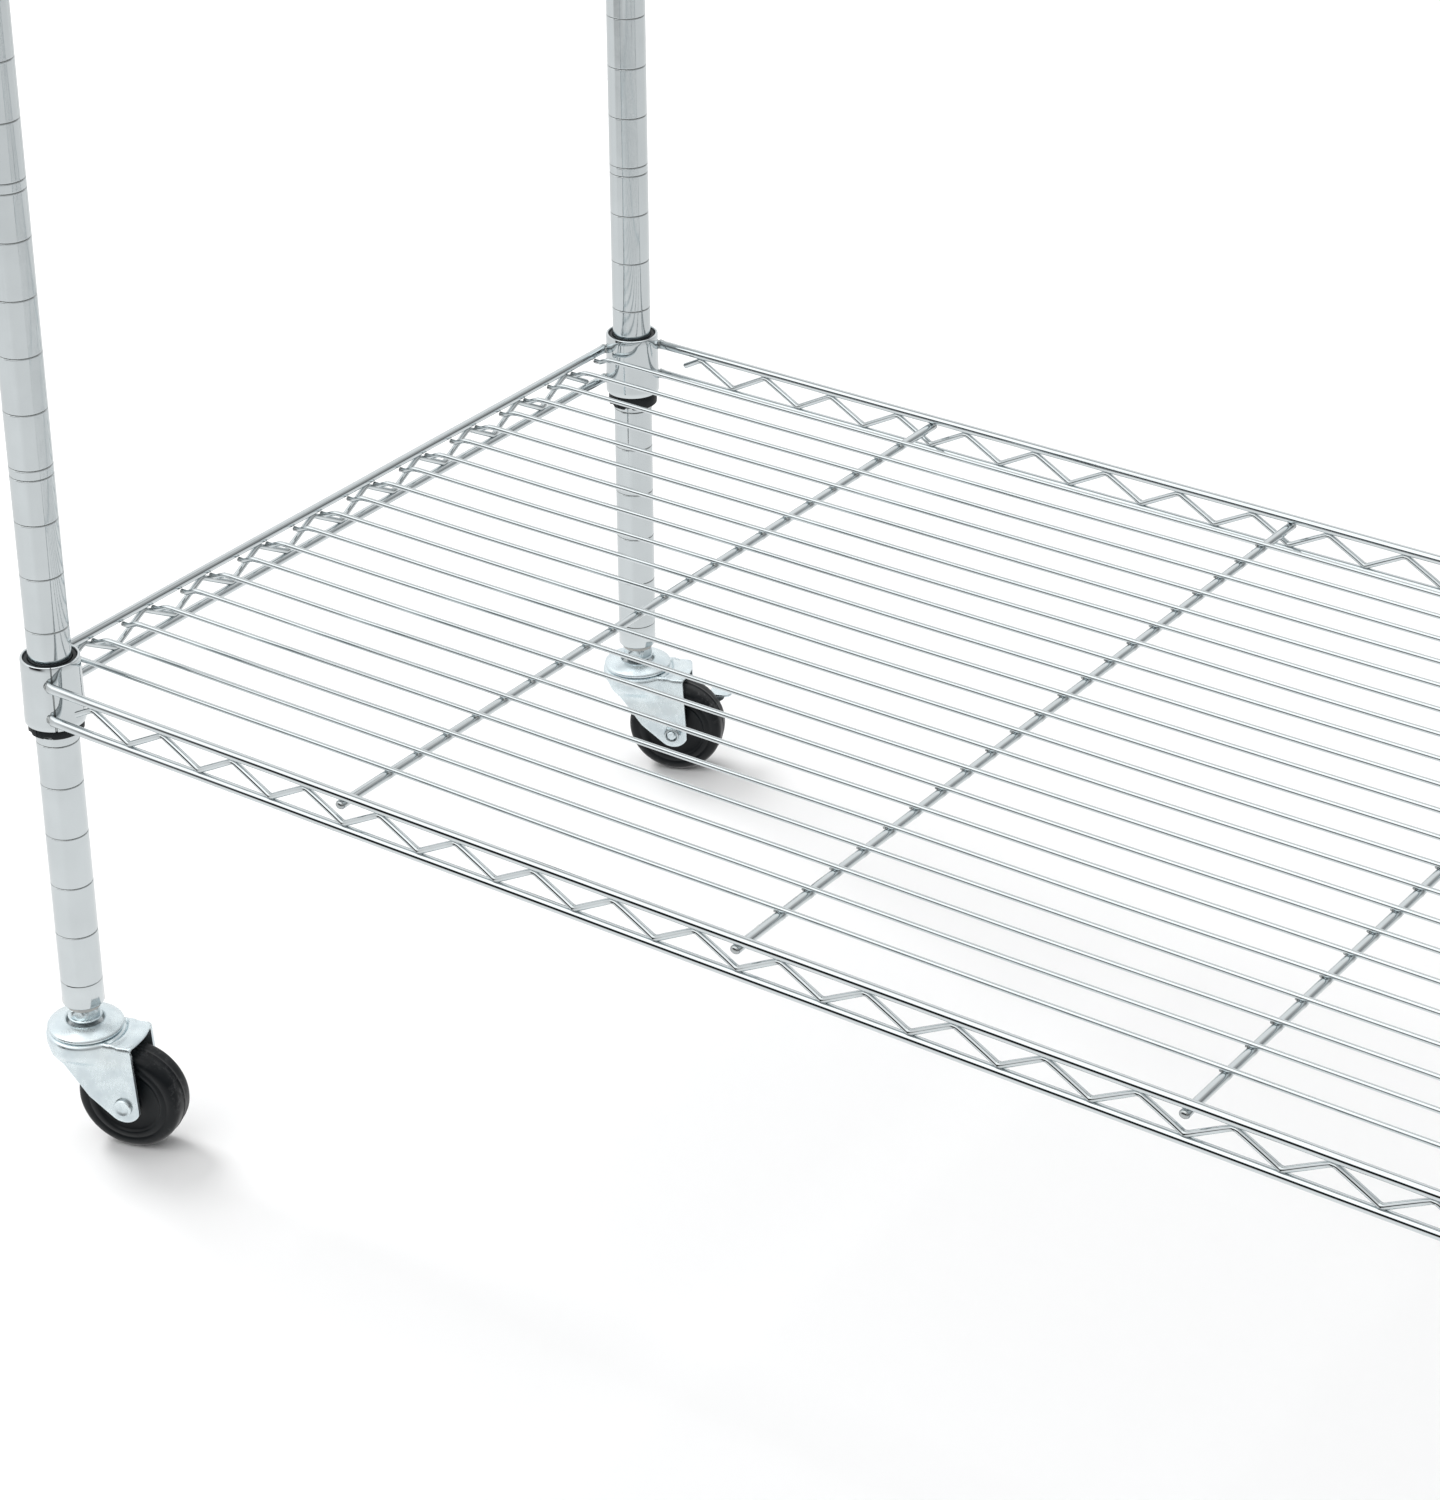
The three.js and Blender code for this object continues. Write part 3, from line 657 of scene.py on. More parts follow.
def make_deck(shelf):
    """Long wires pressed into the ribs, their ends dipped under the side wires."""
    node = f"{shelf}_deck"
    low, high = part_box(node)
    top_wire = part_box(f"{shelf}_front_truss")[1].z - TRUSS_RADIUS
    level = top_wire - DECK_DROP
    centre = middle(node)
    shell = Shell()
    ribs = [centre.x + (k - (RIBS - 1) / 2) * RIB_PITCH for k in range(RIBS)]
    for y in deck_rows(centre.y):
        phase, sag = random.uniform(0, TAU), random.uniform(0.1, 0.3) * MM
        tip = high.x + 1.2 * MM
        points = [(-tip, -DECK_DIP), (-tip + 3 * MM, -DECK_DIP), (-tip + 8.6 * MM, -0.2 * MM)]
        points += [(-tip + 12 * MM, 0), (tip - 12 * MM, 0)]
        points += [(-x, z) for x, z in reversed(points[:3])]
        path = rounded_path([Vector((x, y, level + z)) for x, z in points], 4 * MM, 4, run=14 * MM)
        for point in path:
            nearest = min(abs(point.x - x) for x in ribs)
            inside = clamp((tip - 14 * MM - abs(point.x)) / (60 * MM))
            between = math.sin(math.pi * min(1, nearest / RIB_PITCH)) ** 2
            point.z -= sag * between * inside
            point.y += 0.14 * MM * math.sin(TAU * point.x / (310 * MM) + phase) * inside
        # The last 4 mm of each wire take the dark wear_and_shade tint: partly the welded cut end, partly
        # painted shade where the wire passes under the side wire.
        wear_and_shade = [max(0, 1 - (tip - abs(p.x)) / (4 * MM)) for p in path]
        shell.tube(path, DECK_RADIUS, 16, wear_and_shade=wear_and_shade)
        for x in ribs:
            seed = hash_of(shelf, x, y)
            side = 1 if seed % 2 else -1
            weld = Vector((x - 1.7 * MM * side, y - 0.9 * MM, level - 0.95 * MM))
            shell.blob(weld, Vector((0.8, 0.7, 0.5)) * MM, seed, 8)
    for x in ribs:
        make_rib(shell, x, low.y, high.y, top_wire, centre.y)
    make_piece(node, shell, WIRE)


def make_rib(shell, x, front, back, top_wire, middle_y):
    """A rib under the deck wires, dented at each crossing and pressed flat at its ends."""
    level = top_wire - RIB_DROP
    stations = {front, front + 0.3 * MM, front + 1 * MM, front + 6 * MM}
    stations |= {2 * middle_y - s for s in stations}
    crossings = deck_rows(middle_y)
    for y in crossings:
        stations |= {y + offset * MM for offset in (-6, -3, -1.6, -0.8, 0, 0.8, 1.6, 3, 6)}
    path, radii, squash, wear_and_shade = [], [], [], []
    for y in sorted(stations):
        nearest = min(abs(y - crossing) for crossing in crossings)
        reach = min(y - front, back - y)
        dent = math.exp(-(nearest / (1.5 * MM)) ** 2)
        path.append(Vector((x, y, level - 0.1 * MM * dent)))
        radii.append(RIB_RADIUS * math.sqrt(min(1, 0.3 + reach / (0.9 * MM))))
        squash.append(1 + 0.05 * dent + 0.12 * max(0, 1 - reach / (6 * MM)))
        wear_and_shade.append(max(0.35 * dent, 0.7 - reach / (4 * MM)))
    shell.tube(path, radii, 16, squash, wear_and_shade)


def make_sleeve(shelf, corner, half):
    """Half of the tapered plastic sleeve, with two shallow notches in its lower edge."""
    name = f"sleeve_{shelf}_{corner}_{half}"
    low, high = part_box(name)
    axis = post_axis(corner)
    side = -1 if half == "a" else 1
    bore = 9.7 * MM
    collar_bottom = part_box(f"{shelf}_{'left' if corner[1] == 'l' else 'right'}_end")[0].z
    wide, narrow = 12.2 * MM, 11.6 * MM
    split = 0.016
    profile = [(bore, low.z + 0.3 * MM), (bore + 0.3 * MM, low.z),
               (wide - 0.4 * MM, low.z), (wide, low.z + 0.4 * MM),
               (wide, collar_bottom - 0.3 * MM), (wide - 0.25 * MM, collar_bottom),
               (wide - 0.3 * MM, collar_bottom + 1 * MM),
               (narrow, high.z - 0.4 * MM), (narrow - 0.4 * MM, high.z), (bore + 0.3 * MM, high.z),
               (bore, high.z - 0.3 * MM)]
    steps = 40
    columns = []
    for i in range(steps + 1):
        angle = split + (math.pi - 2 * split) * i / steps
        notch = 0.9 * MM if 0.08 < i / steps < 0.2 or 0.8 < i / steps < 0.92 else 0
        column = []
        for k, (radius, z) in enumerate(profile):
            x, y = side * radius * math.sin(angle), radius * math.cos(angle)
            column.append(axis + Vector((x, y, z + (notch if k < 4 else 0))))
        columns.append(column)
    shell = Shell()
    shell.grid(columns, flip=side < 0, ends=True)
    make_piece(name, shell, BLACK, sharp=40)


# ---- hanging rail ----------------------------------------------------------------------------

def make_rail():
    low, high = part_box("hanging_rail")
    centre = middle("hanging_rail")
    radius, wall, lip = (high.z - low.z) / 2, 1.2 * MM, 0.4 * MM
    half = (high.x - low.x) / 2
    profile = [(radius - wall, -half), (radius - lip, -half), (radius, -half + lip)]
    profile += [(radius, -half + 2 * half * k / 24) for k in range(1, 24)]
    profile += [(radius, half - lip), (radius - lip, half), (radius - wall, half)]
    shell = Shell()
    along = Matrix.Translation(centre) @ Matrix.Rotation(math.pi / 2, 4, "Y")
    shell.lathe(profile, 72, along, closed=True)
    make_piece("hanging_rail", shell, TUBE, sharp=50)


def make_hook(side):
    """A plate with two bent prongs over the side wire and a cup that holds the rail's end."""
    name = f"rail_hook_{side}"
    low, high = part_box(name)
    rail = middle("hanging_rail")
    outward = -1 if side == "left" else 1
    sheet = 2.3 * MM
    rail_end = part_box("hanging_rail")[0 if side == "left" else 1].x
    inner_x = rail_end + outward * 1.5 * MM
    width = 15 * MM
    turn = Matrix.Rotation(math.pi / 2, 4, "Z")
    foot = low.z + 0.2 * MM
    top_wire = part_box("upper_front_truss")[1].z
    shoulder = top_wire - TRUSS_RADIUS - DECK_DROP - DECK_DIP - 1.8 * MM
    outline = rounded_loop([(-width, foot, 14 * MM), (width, foot, 14 * MM), (width, shoulder, 3 * MM),
                            (-width, shoulder, 3 * MM)], 3 * MM, 8)
    shell = Shell()
    shell.slab(outline, sheet, Matrix.Translation((inner_x, 0, 0)) @ turn, 0.5 * MM)
    for sign in (-1, 1):
        y = sign * DECK_PITCH / 2
        outer_x = low.x + 1 * MM if outward < 0 else high.x - 1 * MM
        crest = high.z - 1 * MM
        corners = [Vector((inner_x, y, shoulder - 4 * MM)), Vector((inner_x, y, crest)),
                   Vector((outer_x, y, crest)), Vector((outer_x, y, crest - 4.6 * MM))]
        strap(shell, rounded_path(corners, 2.2 * MM, 6), 8.6 * MM, 1.9 * MM)
    cup = Matrix.Translation((inner_x, rail.y, rail.z)) @ Matrix.Rotation(-outward * math.pi / 2, 4, "Y")
    inner, outer, depth = 11.25 * MM, 13.3 * MM, 15 * MM
    profile = [(inner, 0.4 * MM), (outer + 1.6 * MM, 0.4 * MM),
               (outer + 0.5 * MM, 1.9 * MM), (outer, 3.4 * MM),
               (outer, depth - 0.8 * MM), (outer - 0.7 * MM, depth),
               (inner + 0.3 * MM, depth), (inner, depth - 0.4 * MM)]
    shell.lathe(profile, 56, cup, closed=True)
    make_piece(name, shell, TUBE)


def strap(shell, path, width, thickness):
    """A flat strip with rounded edges along a path in X and Z, its width along Y."""
    rows = []
    across = Vector((0, 1, 0))
    a, b = width / 2, thickness / 2
    ring = rounded_loop([(-a, -b), (a, -b), (a, b), (-a, b)], 0.5 * MM, 3)
    for k, point in enumerate(path):
        ahead = (path[min(k + 1, len(path) - 1)] - path[max(k - 1, 0)]).normalized()
        normal = ahead.cross(across)
        rows.append([point + across * a + normal * b for a, b in ring])
    shell.grid(rows, flip=True, ends=True)


# ---- casters ---------------------------------------------------------------------------------
# Each is made with its swivel axis on Z and its wheel trailing towards +X, then turned into place.

TRAIL, WHEEL_RADIUS = 21 * MM, 25 * MM
CROWN_TOP, CROWN_RADIUS = 57.4 * MM, 18.15 * MM
PLATE_Y, FORK_REAR, SHEET = 12.5 * MM, 26.5 * MM, 1.8 * MM
PLATE_FRONT, SKIRT_LOW = -13 * MM, 52.4 * MM


def caster_place(corner):
    """The turn and place of a caster, from where its wheel stands beside its post."""
    axis = post_axis(corner)
    wheel = middle(f"caster_{corner}_wheel")
    angle = math.atan2(wheel.y - axis.y, wheel.x - axis.x)
    return Matrix.Translation(axis) @ Matrix.Rotation(angle, 4, "Z")


def wheel_place(corner):
    """The wheel's place, with its axis on local Z and the caster's near side plate at +Z."""
    hub = caster_place(corner) @ Matrix.Translation((TRAIL, 0, WHEEL_RADIUS))
    return hub @ Matrix.Rotation(math.pi / 2, 4, "X")


def make_stem(corner):
    """Threaded stem, hexagon and domed upper raceway, with the rivet head under the crown."""
    name = f"caster_{corner}_stem"
    low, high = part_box(name)
    place = caster_place(corner)
    race = CROWN_TOP + 0.3 * MM
    hex_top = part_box(f"insert_{corner}")[0].z - 0.3 * MM
    hex_bottom = hex_top - 4.4 * MM
    washer = hex_bottom - 0.9 * MM
    profile = [(0.1 * MM, low.z), (4.2 * MM, low.z), (5.8 * MM, low.z + 0.4 * MM),
               (6.5 * MM, low.z + 1.2 * MM), (6.4 * MM, low.z + 1.7 * MM),
               (4.6 * MM, low.z + 1.8 * MM), (4.6 * MM, race)]
    dome = [(15.6, 0.0), (16.7, 0.15), (17.2, 0.5), (17.4, 1.0), (17.35, 1.5), (17.1, 1.95),
            (16.6, 2.3), (15.9, 2.7), (15.0, 3.15), (14.0, 3.6), (13.0, 3.98), (12.0, 4.3),
            (11.2, 4.52), (10.5, 4.66), (9.9, 4.7), (9.35, 4.62), (8.9, 4.35), (8.55, 3.9),
            (8.35, 3.3), (8.2, 2.6), (7.9, 2.1), (5.6, 2.0)]
    profile += [(r * MM, race + z * MM) for r, z in dome]
    profile += [(5.6 * MM, washer), (7.5 * MM, washer), (7.8 * MM, washer + 0.25 * MM),
                (7.8 * MM, washer + 0.65 * MM), (7.5 * MM, hex_bottom),
                (4.7 * MM, hex_bottom), (4.7 * MM, hex_top)]
    z = hex_top
    while z < high.z - 1.2 * MM:
        profile += [(4.25 * MM, z + 0.4 * MM), (4.65 * MM, z + 0.8 * MM)]
        z += 0.8 * MM
    profile += [(3.6 * MM, high.z), (0.1 * MM, high.z)]
    # Painted shade: the recess inside the raceway dome, down to the washer, takes the dark wear_and_shade
    # tint.
    wear_and_shade = [0.8 if r < 8.5 * MM and race + 1.9 * MM < z < washer + 0.1 * MM else 0.0 for r, z in profile]
    shell = Shell()
    shell.lathe(profile, 72, place, wear_and_shade=wear_and_shade)
    hexagon(shell, place, hex_bottom, hex_top, 7.5 * MM, 0.5 * MM)
    make_piece(name, shell, ZINC)


def hexagon(shell, place, low, high, radius, chamfer=0.7 * MM):
    """A hexagon with turned chamfers at both ends."""
    rows = []
    count = 48
    flats = radius * math.cos(math.pi / 6)
    turned = flats + 0.1 * MM
    for z, limit in ((low, turned), (low + chamfer, radius), (high - chamfer, radius), (high, turned)):
        row = []
        for i in range(count):
            angle = TAU * i / count
            local = (angle % (TAU / 6)) - TAU / 12
            reach = min(flats / math.cos(local), limit)
            row.append(place @ Vector((reach * math.cos(angle), reach * math.sin(angle), z)))
        rows.append(row)
    shell.grid(rows, ends=True)


def fork_outline():
    """The crown seen from above: two straight sides, a round front and a slightly bulged rear edge.
    Each entry is (x, y, hangs), hangs being False along the rear edge, where no side plate hangs."""
    edge_angle = math.asin(PLATE_Y / CROWN_RADIUS)
    points = []
    straight = 22
    tangent_x = CROWN_RADIUS * math.cos(edge_angle)
    for k in range(straight):
        t = k / straight
        points.append((FORK_REAR + (tangent_x - FORK_REAR) * t, -PLATE_Y, True))
    turn = 60
    for k in range(turn + 1):
        angle = -edge_angle - (TAU - 2 * edge_angle) * k / turn
        points.append((CROWN_RADIUS * math.cos(angle), CROWN_RADIUS * math.sin(angle), True))
    for k in range(1, straight + 1):
        t = k / straight
        points.append((tangent_x + (FORK_REAR - tangent_x) * t, PLATE_Y, True))
    rear = 16
    for k in range(1, rear):
        t = k / rear
        points.append((FORK_REAR + 2.2 * MM * math.sin(math.pi * t), PLATE_Y * (1 - 2 * t), False))
    return points


def plate_low(x):
    """The lower edge of a side plate at a place along it: sloping front edge, then the round boss."""
    boss_x, boss_z, boss = TRAIL, WHEEL_RADIUS, 8.2 * MM
    front_z, knee_x, knee_z, joins = 52 * MM, 4.5 * MM, 28 * MM, 1.28 * math.pi
    join_x, join_z = boss_x + boss * math.cos(joins), boss_z + boss * math.sin(joins)
    if x < knee_x:
        return front_z + (knee_z - front_z) * clamp((x - PLATE_FRONT) / (knee_x - PLATE_FRONT))
    if x < join_x:
        return knee_z + (join_z - knee_z) * (x - knee_x) / (join_x - knee_x)
    return boss_z - math.sqrt(max(0, boss ** 2 - (x - boss_x) ** 2))


def make_fork(corner):
    """The stamped fork: a stepped crown whose rim rolls over into a skirt and two side plates."""
    name = f"caster_{corner}_fork"
    place = caster_place(corner)
    outline = fork_outline()
    roll = 2.2 * MM
    top_rows, arc_rows, wall_rows = 34, 6, 22
    stretch = 1.9 * MM
    columns = []
    for x, y, hangs in outline:
        reach = math.hypot(x, y)
        ux, uy = x / reach, y / reach
        column = []
        for k in range(top_rows):
            r = 5 * MM + (reach - roll - 5 * MM) * k / (top_rows - 1)
            behind = clamp((reach / MM - 20) / 3)
            groove = math.exp(-((r / MM - 18.3) / 0.6) ** 2)
            step = 0.5 - 0.5 * math.cos(math.pi * clamp((r / MM - 20.2) / 2.6))
            aside = clamp((abs(r * uy) / PLATE_Y - 0.3) / 0.5)
            sunk = 0.9 * groove * behind + (0.4 + 0.3 * aside) * step
            column.append((r * ux, r * uy, CROWN_TOP - sunk * MM))
        crest = column[-1][2]
        for k in range(1, arc_rows + 1):
            angle = math.pi / 2 * k / arc_rows
            r = reach - roll + roll * math.sin(angle)
            drop = roll * (1 - math.cos(angle))
            column.append((r * ux, r * uy, crest - drop * (1 if hangs else 0.35)))
        if hangs:
            start_z = crest - roll
            on_plate = x > PLATE_FRONT
            low_x = x + max(0, (x - 13 * MM) / (13.5 * MM)) * stretch
            bottom = min(SKIRT_LOW, plate_low(low_x)) if on_plate else SKIRT_LOW
            for k in range(1, wall_rows + 1):
                z = start_z + (bottom - start_z) * k / wall_rows
                sink = clamp((51 * MM - z) / (8 * MM))
                sink = sink * sink * (3 - 2 * sink)
                side_y = y + (math.copysign(PLATE_Y, y) - y) * sink if on_plate else y
                lean = clamp((start_z - z) / (start_z - WHEEL_RADIUS))
                column.append((x + (low_x - x) * lean, side_y, z))
        columns.append(column)
    shell = Shell()
    numbers = []
    for column in columns:
        first = len(shell.points)
        shell.points.extend(place @ Vector(p) for p in column)
        shell.wear_and_shade.extend([0.0] * len(column))
        numbers.append(range(first, first + len(column)))
    for i, left in enumerate(numbers):
        right = numbers[(i + 1) % len(numbers)]
        for k in range(min(len(left), len(right)) - 1):
            shell.faces.append((left[k], right[k], right[k + 1], left[k + 1]))
    piece = make_piece(name, shell, ZINC, sharp=60)
    solid = piece.modifiers.new("sheet", "SOLIDIFY")
    solid.thickness = SHEET
    solid.offset = -1
    solid.use_even_offset = False
    round_edges(piece, 0.3 * MM)


def round_edges(piece, width):
    """Rounds a sheet piece's sharp edges."""
    rim = piece.modifiers.new("rim", "BEVEL")
    rim.width = width
    rim.segments = 3
    rim.limit_method = "ANGLE"
    rim.angle_limit = math.radians(50)


def make_wheel(corner):
    """A solid rubber wheel: crowned tread with a mould line, rounded shoulders, grooved flanks."""
    name = f"caster_{corner}_wheel"
    half = [(3.3, 9.9), (5.9, 9.9), (6.5, 9.6), (6.6, 9.0), (6.9, 7.6), (7.6, 7.3), (10.5, 7.2),
            (14.6, 7.25), (15.3, 7.5), (15.8, 8.1), (16.3, 8.45), (17.0, 8.5), (18.6, 8.48),
            (18.9, 8.2), (19.3, 8.2), (19.6, 8.45), (21.6, 8.25), (22.6, 8.0), (23.4, 7.5),
            (24.05, 6.8), (24.5, 5.9), (24.68, 4.8), (24.76, 3.4), (24.79, 1.8), (24.8, 0.45),
            (24.98, 0.25)]
    profile = [(r * MM, -y * MM) for r, y in half] + [(r * MM, y * MM) for r, y in reversed(half)]
    wear_and_shade = [clamp((r / MM - 21) / 3) for r, _ in profile]
    shell = Shell()
    shell.lathe(profile, 128, wheel_place(corner), closed=True, wear_and_shade=wear_and_shade)
    make_piece(name, shell, RUBBER, sharp=50)


def make_axle(corner):
    """A riveted axle on the free casters. On the braked ones it is a bolt, its head over the lever and
    its lock nut on the near side."""
    name = f"caster_{corner}_axle"
    place = wheel_place(corner)
    face = PLATE_Y + 0.05 * MM
    shell = Shell()
    if corner in BRAKED:
        shank, thread = 3.0 * MM, 2.3 * MM
        under_head = face + 2.15 * MM
        profile = [(0.1 * MM, -under_head - 0.3 * MM), (shank, -under_head - 0.3 * MM),
                   (shank, face + 0.2 * MM), (thread, face + 0.3 * MM), (thread, face + 3.3 * MM),
                   (1.9 * MM, face + 3.75 * MM), (0.1 * MM, face + 3.8 * MM)]
        shell.lathe(profile, 32, place)
        hexagon(shell, place, -under_head - 2.4 * MM, -under_head, 5.0 * MM, 0.4 * MM)
        hexagon(shell, place, face + 0.3 * MM, face + 2.3 * MM, 4.6 * MM, 0.4 * MM)
        lock_ring = [(2.5, 2.2), (4.0, 2.2), (4.0, 2.9), (3.8, 3.25), (3.4, 3.4), (3.0, 3.25), (2.7, 2.8)]
        # Painted shade: the lock ring takes the dark wear_and_shade tint along its sides and in its bore,
        # and much less on its crest.
        wear_and_shade = [0.9, 0.9, 0.8, 0.4, 0.3, 0.8, 1.0]
        shell.lathe([(r * MM, face + y * MM) for r, y in lock_ring], 40, place, closed=True, wear_and_shade=wear_and_shade)
    else:
        head = [(0.1, 1.35), (2.0, 1.3), (2.8, 1.4), (3.4, 1.6), (3.8, 1.65), (4.1, 1.4),
                (4.25, 1.0), (4.3, 0.6), (4.3, 0.0), (3.0, 0.0)]
        profile = [(r * MM, -face - z * MM) for r, z in head]
        profile += [(r * MM, face + z * MM) for r, z in reversed(head)]
        # Painted shadow: the rim of the rivet head, where it meets the plate, takes the dark wear_and_shade
        # tint to draw a dark ring round it.
        wear_and_shade = [1.0 if r > 4.2 * MM else 0.0 for r, _ in profile]
        shell.lathe(profile, 48, place, wear_and_shade=wear_and_shade)
    make_piece(name, shell, ZINC)


def make_brake(corner):
    """The brake lever: a pressed plate outside the far side plate, its eye round the axle bolt, with a
    rib along its arm and a flat rounded foot pad across its end."""
    name = f"caster_{corner}_brake"
    eye, end, hole, sheet = 6.45 * MM, 2.2 * MM, 3.3 * MM, 1.6 * MM
    reach, rise = 20.5 * MM, 10.6 * MM
    length = math.hypot(reach, rise)
    spread = math.acos((eye - end) / length)
    outline = arc_points(0, eye, spread, TAU - spread, 40)
    arm_end = Vector((length + end * math.cos(spread), -end * math.sin(spread)))
    outline += [outline[-1].lerp(arm_end, k / 14) for k in range(1, 14)]
    outline += arc_points(length, end, -spread, spread, 24)
    outline += [outline[-1].lerp(outline[0], k / 14) for k in range(1, 14)]
    place = caster_place(corner) @ Matrix.Translation((TRAIL, PLATE_Y + 0.3 * MM, WHEEL_RADIUS))
    turn = place @ Matrix.Rotation(-math.atan2(rise, reach), 4, "Y")

    def ring(share, lift, press):
        points = []
        for corner_point in outline:
            point = (corner_point.normalized() * hole).lerp(corner_point, share)
            start = clamp((point.x - 8 * MM) / (2.5 * MM))
            stop = clamp((length - 3.5 * MM - point.x) / (2.5 * MM))
            rib = press * start * stop * math.exp(-(point.y / (1.5 * MM)) ** 2)
            points.append(turn @ Vector((point.x, lift + rib, point.y)))
        return points

    rings = 26
    rows = [ring(k / rings, sheet, 0.6 * MM) for k in range(rings + 1)]
    rows += [ring(1 - k / rings, 0, 0.35 * MM) for k in range(rings + 1)]
    shell = Shell()
    shell.grid(rows, closed_rows=True)
    pad, heel, toe = 4.15 * MM, 36 * MM, 47.7 * MM
    pad_outline = rounded_loop([(heel, -pad), (toe, -pad, pad * 0.98), (toe, pad, pad * 0.98),
                                (heel, pad)], 1.5 * MM, 12)
    level = caster_place(corner) @ Matrix.Translation((0, PLATE_Y + 1.1 * MM, 37.8 * MM))
    shell.slab(pad_outline, 1.55 * MM, level @ Matrix.Rotation(math.pi / 2, 4, "X"), 0.5 * MM)
    round_edges(make_piece(name, shell, ZINC, sharp=50), 0.3 * MM)


def arc_points(centre_x, radius, start, stop, steps):
    """Points of an arc about a place on the X axis."""
    angles = (start + (stop - start) * k / steps for k in range(steps + 1))
    return [Vector((centre_x + radius * math.cos(angle), radius * math.sin(angle))) for angle in angles]


# ---- the rack --------------------------------------------------------------------------------

for post_corner in CORNERS:
    make_post(post_corner)
    make_cap(post_corner)
    make_insert(post_corner)
    make_stem(post_corner)
    make_fork(post_corner)
    make_wheel(post_corner)
    make_axle(post_corner)
    if post_corner in BRAKED:
        make_brake(post_corner)
for shelf_name in SHELVES:
    make_long_truss(shelf_name, "front")
    make_long_truss(shelf_name, "back")
    make_end(shelf_name, "left")
    make_end(shelf_name, "right")
    make_deck(shelf_name)
    for post_corner in CORNERS:
        make_sleeve(shelf_name, post_corner, "a")
        make_sleeve(shelf_name, post_corner, "b")
make_rail()
make_hook("left")
make_hook("right")


# ---- studio ----------------------------------------------------------------------------------

def make_floor():
    """A pale floor. Chrome mirrors the studio's own pale lower half instead, so its lines stay clean."""
    size = 60.0
    mesh = bpy.data.meshes.new("floor")
    corners = [(-size, -size, 0), (size, -size, 0), (size, size, 0), (-size, size, 0)]
    mesh.from_pydata(corners, [], [(0, 1, 2, 3)])
    n = Nodes(bpy.data.materials.new("floor"))
    cloud = n.ranged(n.noise(0.8, 2), 0.3, 0.7, 0, 1)
    n.use("Base Color", n.mix(cloud, (0.86, 0.86, 0.86), (0.84, 0.842, 0.845)))
    n.use("Roughness", 0.8)
    n.use("Specular IOR Level", 0.1)
    mesh.materials.append(n.owner)
    floor = bpy.data.objects.new("floor", mesh)
    floor.visible_glossy = False
    bpy.context.scene.collection.objects.link(floor)


# Brightness of the studio as (sine of the elevation, brightness) stops, in four zones round the rack. The
# paper sweep rises behind the rack, with a dark strip near its top, and goes on brighter at the left. The
# room on the camera's side is dark at eye level. The right side is dim. The dark parts draw the thin
# lines in the chrome.
PAPER = ((-1.0, 1.02), (-0.6, 1.0), (-0.36, 0.86), (-0.1, 0.84), (0.5, 1.02),
         (0.72, 1.0), (0.78, 0.4), (0.88, 0.4), (0.93, 1.6), (1.0, 1.6))
LEFT = ((-1.0, 1.02), (-0.6, 1.0), (-0.36, 0.9), (-0.1, 0.86),
        (0.34, 0.95), (0.44, 1.6), (0.93, 1.6), (1.0, 1.6))
ROOM = ((-1.0, 1.02), (-0.6, 1.0), (-0.4, 0.94), (-0.34, 0.8), (-0.27, 0.02),
        (0.3, 0.01), (0.36, 0.3), (0.45, 1.6), (0.93, 1.6), (1.0, 1.6))
RIGHT = ((-1.0, 1.02), (-0.6, 1.0), (-0.36, 0.82), (-0.12, 0.6), (-0.06, 0.2),
         (0.1, 0.12), (0.34, 0.35), (0.6, 0.55), (0.9, 0.8), (1.0, 1.6))
PAPER_SIDE = (-0.574, 0.819, 0)


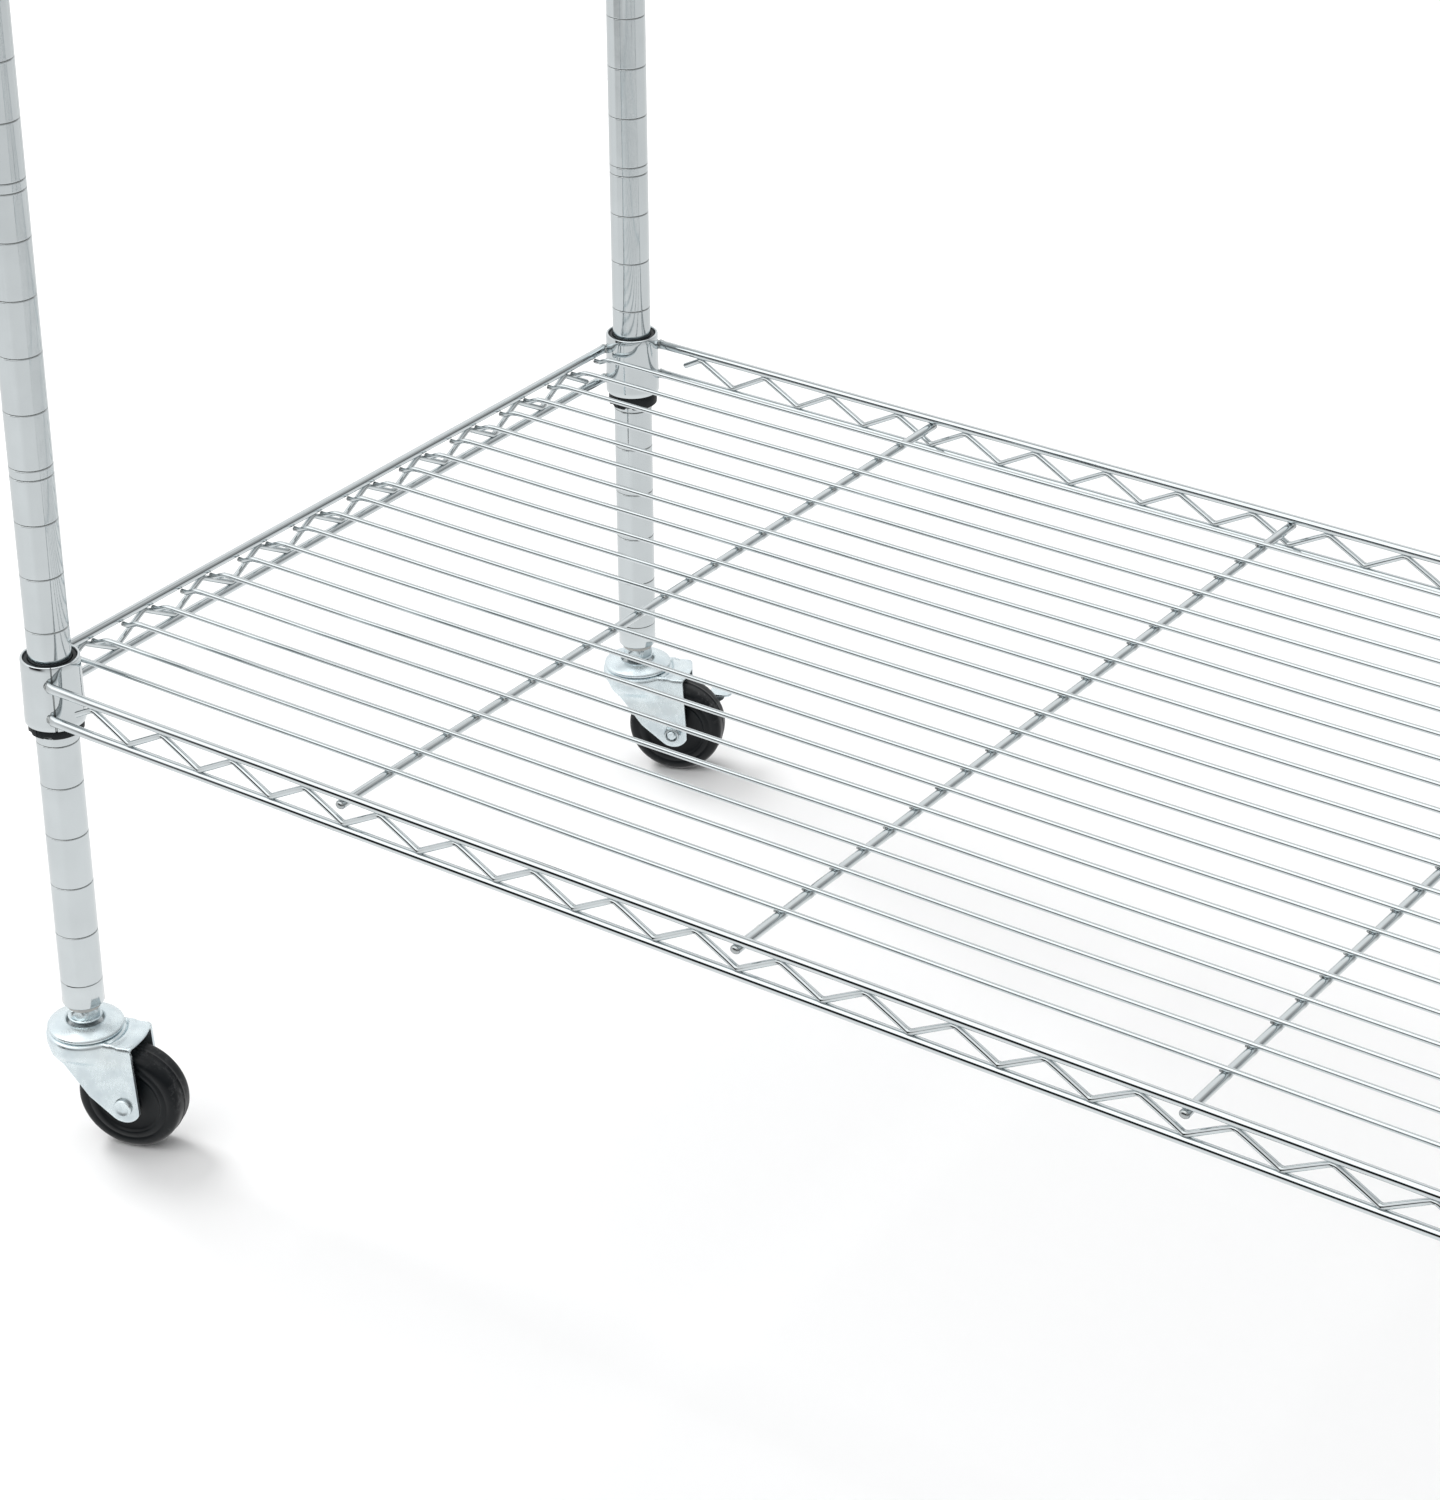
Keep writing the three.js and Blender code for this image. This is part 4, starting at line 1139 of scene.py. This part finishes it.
def make_world():
    """The studio that chrome mirrors and that lights the rack. The camera itself sees plain white."""
    world = bpy.data.worlds.new("studio")
    bpy.context.scene.world = world
    n = Nodes(world)
    way = n.add("ShaderNodeTexCoord").outputs["Generated"]
    split = n.add("ShaderNodeSeparateXYZ")
    n.link(way, split.inputs["Vector"])
    flat = n.add("ShaderNodeVectorMath", operation="DOT_PRODUCT")
    n.link(way, flat.inputs[0])
    flat.inputs[1].default_value = PAPER_SIDE
    height = n.ranged(split.outputs["Z"], -1, 1, 0, 1)
    paper, left, room, right = (
        n.ramp(height, [((sine + 1) / 2, value) for sine, value in stops])
        for stops in (PAPER, LEFT, ROOM, RIGHT)
    )
    to_left = n.ranged(flat.outputs["Value"], -0.3, -0.2, 0, 1)
    to_paper = n.ranged(flat.outputs["Value"], 0.12, 0.45, 0, 1)
    to_right = n.ranged(split.outputs["X"], 0.05, 0.4, 0, 1)
    back = n.tree.nodes["Background"]
    around = n.blend(to_paper, n.blend(to_left, room, left), paper)
    n.link(n.blend(to_right, around, right), back.inputs["Strength"])
    back.inputs["Color"].default_value = (1, 1, 1, 1)
    seen = n.add("ShaderNodeBackground")
    seen.inputs["Color"].default_value = (1, 1, 1, 1)
    choose = n.add("ShaderNodeMixShader")
    n.link(n.add("ShaderNodeLightPath").outputs["Is Camera Ray"], choose.inputs["Fac"])
    n.link(back.outputs["Background"], choose.inputs[1])
    n.link(seen.outputs["Background"], choose.inputs[2])
    n.link(choose.outputs["Shader"], n.tree.nodes["World Output"].inputs["Surface"])


def add_light(name, place, target, size, power):
    """A soft square lamp. The world draws all reflections, so the lamp itself isn't mirrored."""
    data = bpy.data.lights.new(name, "AREA")
    data.shape = "RECTANGLE"
    data.size, data.size_y = size
    data.energy = power
    light = bpy.data.objects.new(name, data)
    light.location = place
    light.rotation_euler = (Vector(target) - Vector(place)).to_track_quat("-Z", "Y").to_euler()
    light.visible_glossy = False
    bpy.context.scene.collection.objects.link(light)


def make_camera():
    """The photograph's viewpoint: seen from the front right and above, with a long lens."""
    azimuth, elevation, roll = math.radians(35.35), math.radians(29.12), math.radians(0.44)
    data = bpy.data.cameras.new("camera")
    data.sensor_width = 36
    data.lens = 96.89
    data.clip_start, data.clip_end = 0.05, 60
    camera = bpy.data.objects.new("camera", data)
    camera.location = (0.5587, -1.2978, 1.0531)
    look = Matrix.Rotation(azimuth, 4, "Z") @ Matrix.Rotation(math.pi / 2 - elevation, 4, "X")
    camera.rotation_euler = (look @ Matrix.Rotation(-roll, 4, "Z")).to_euler()
    bpy.context.scene.collection.objects.link(camera)
    bpy.context.scene.camera = camera


make_floor()
make_world()
add_light("key", (-3.0, 0.3, 2.8), (-0.4, 0, 0), (1.3, 1.3), 75)
make_camera()
bpy.context.scene.view_settings.view_transform = "Standard"
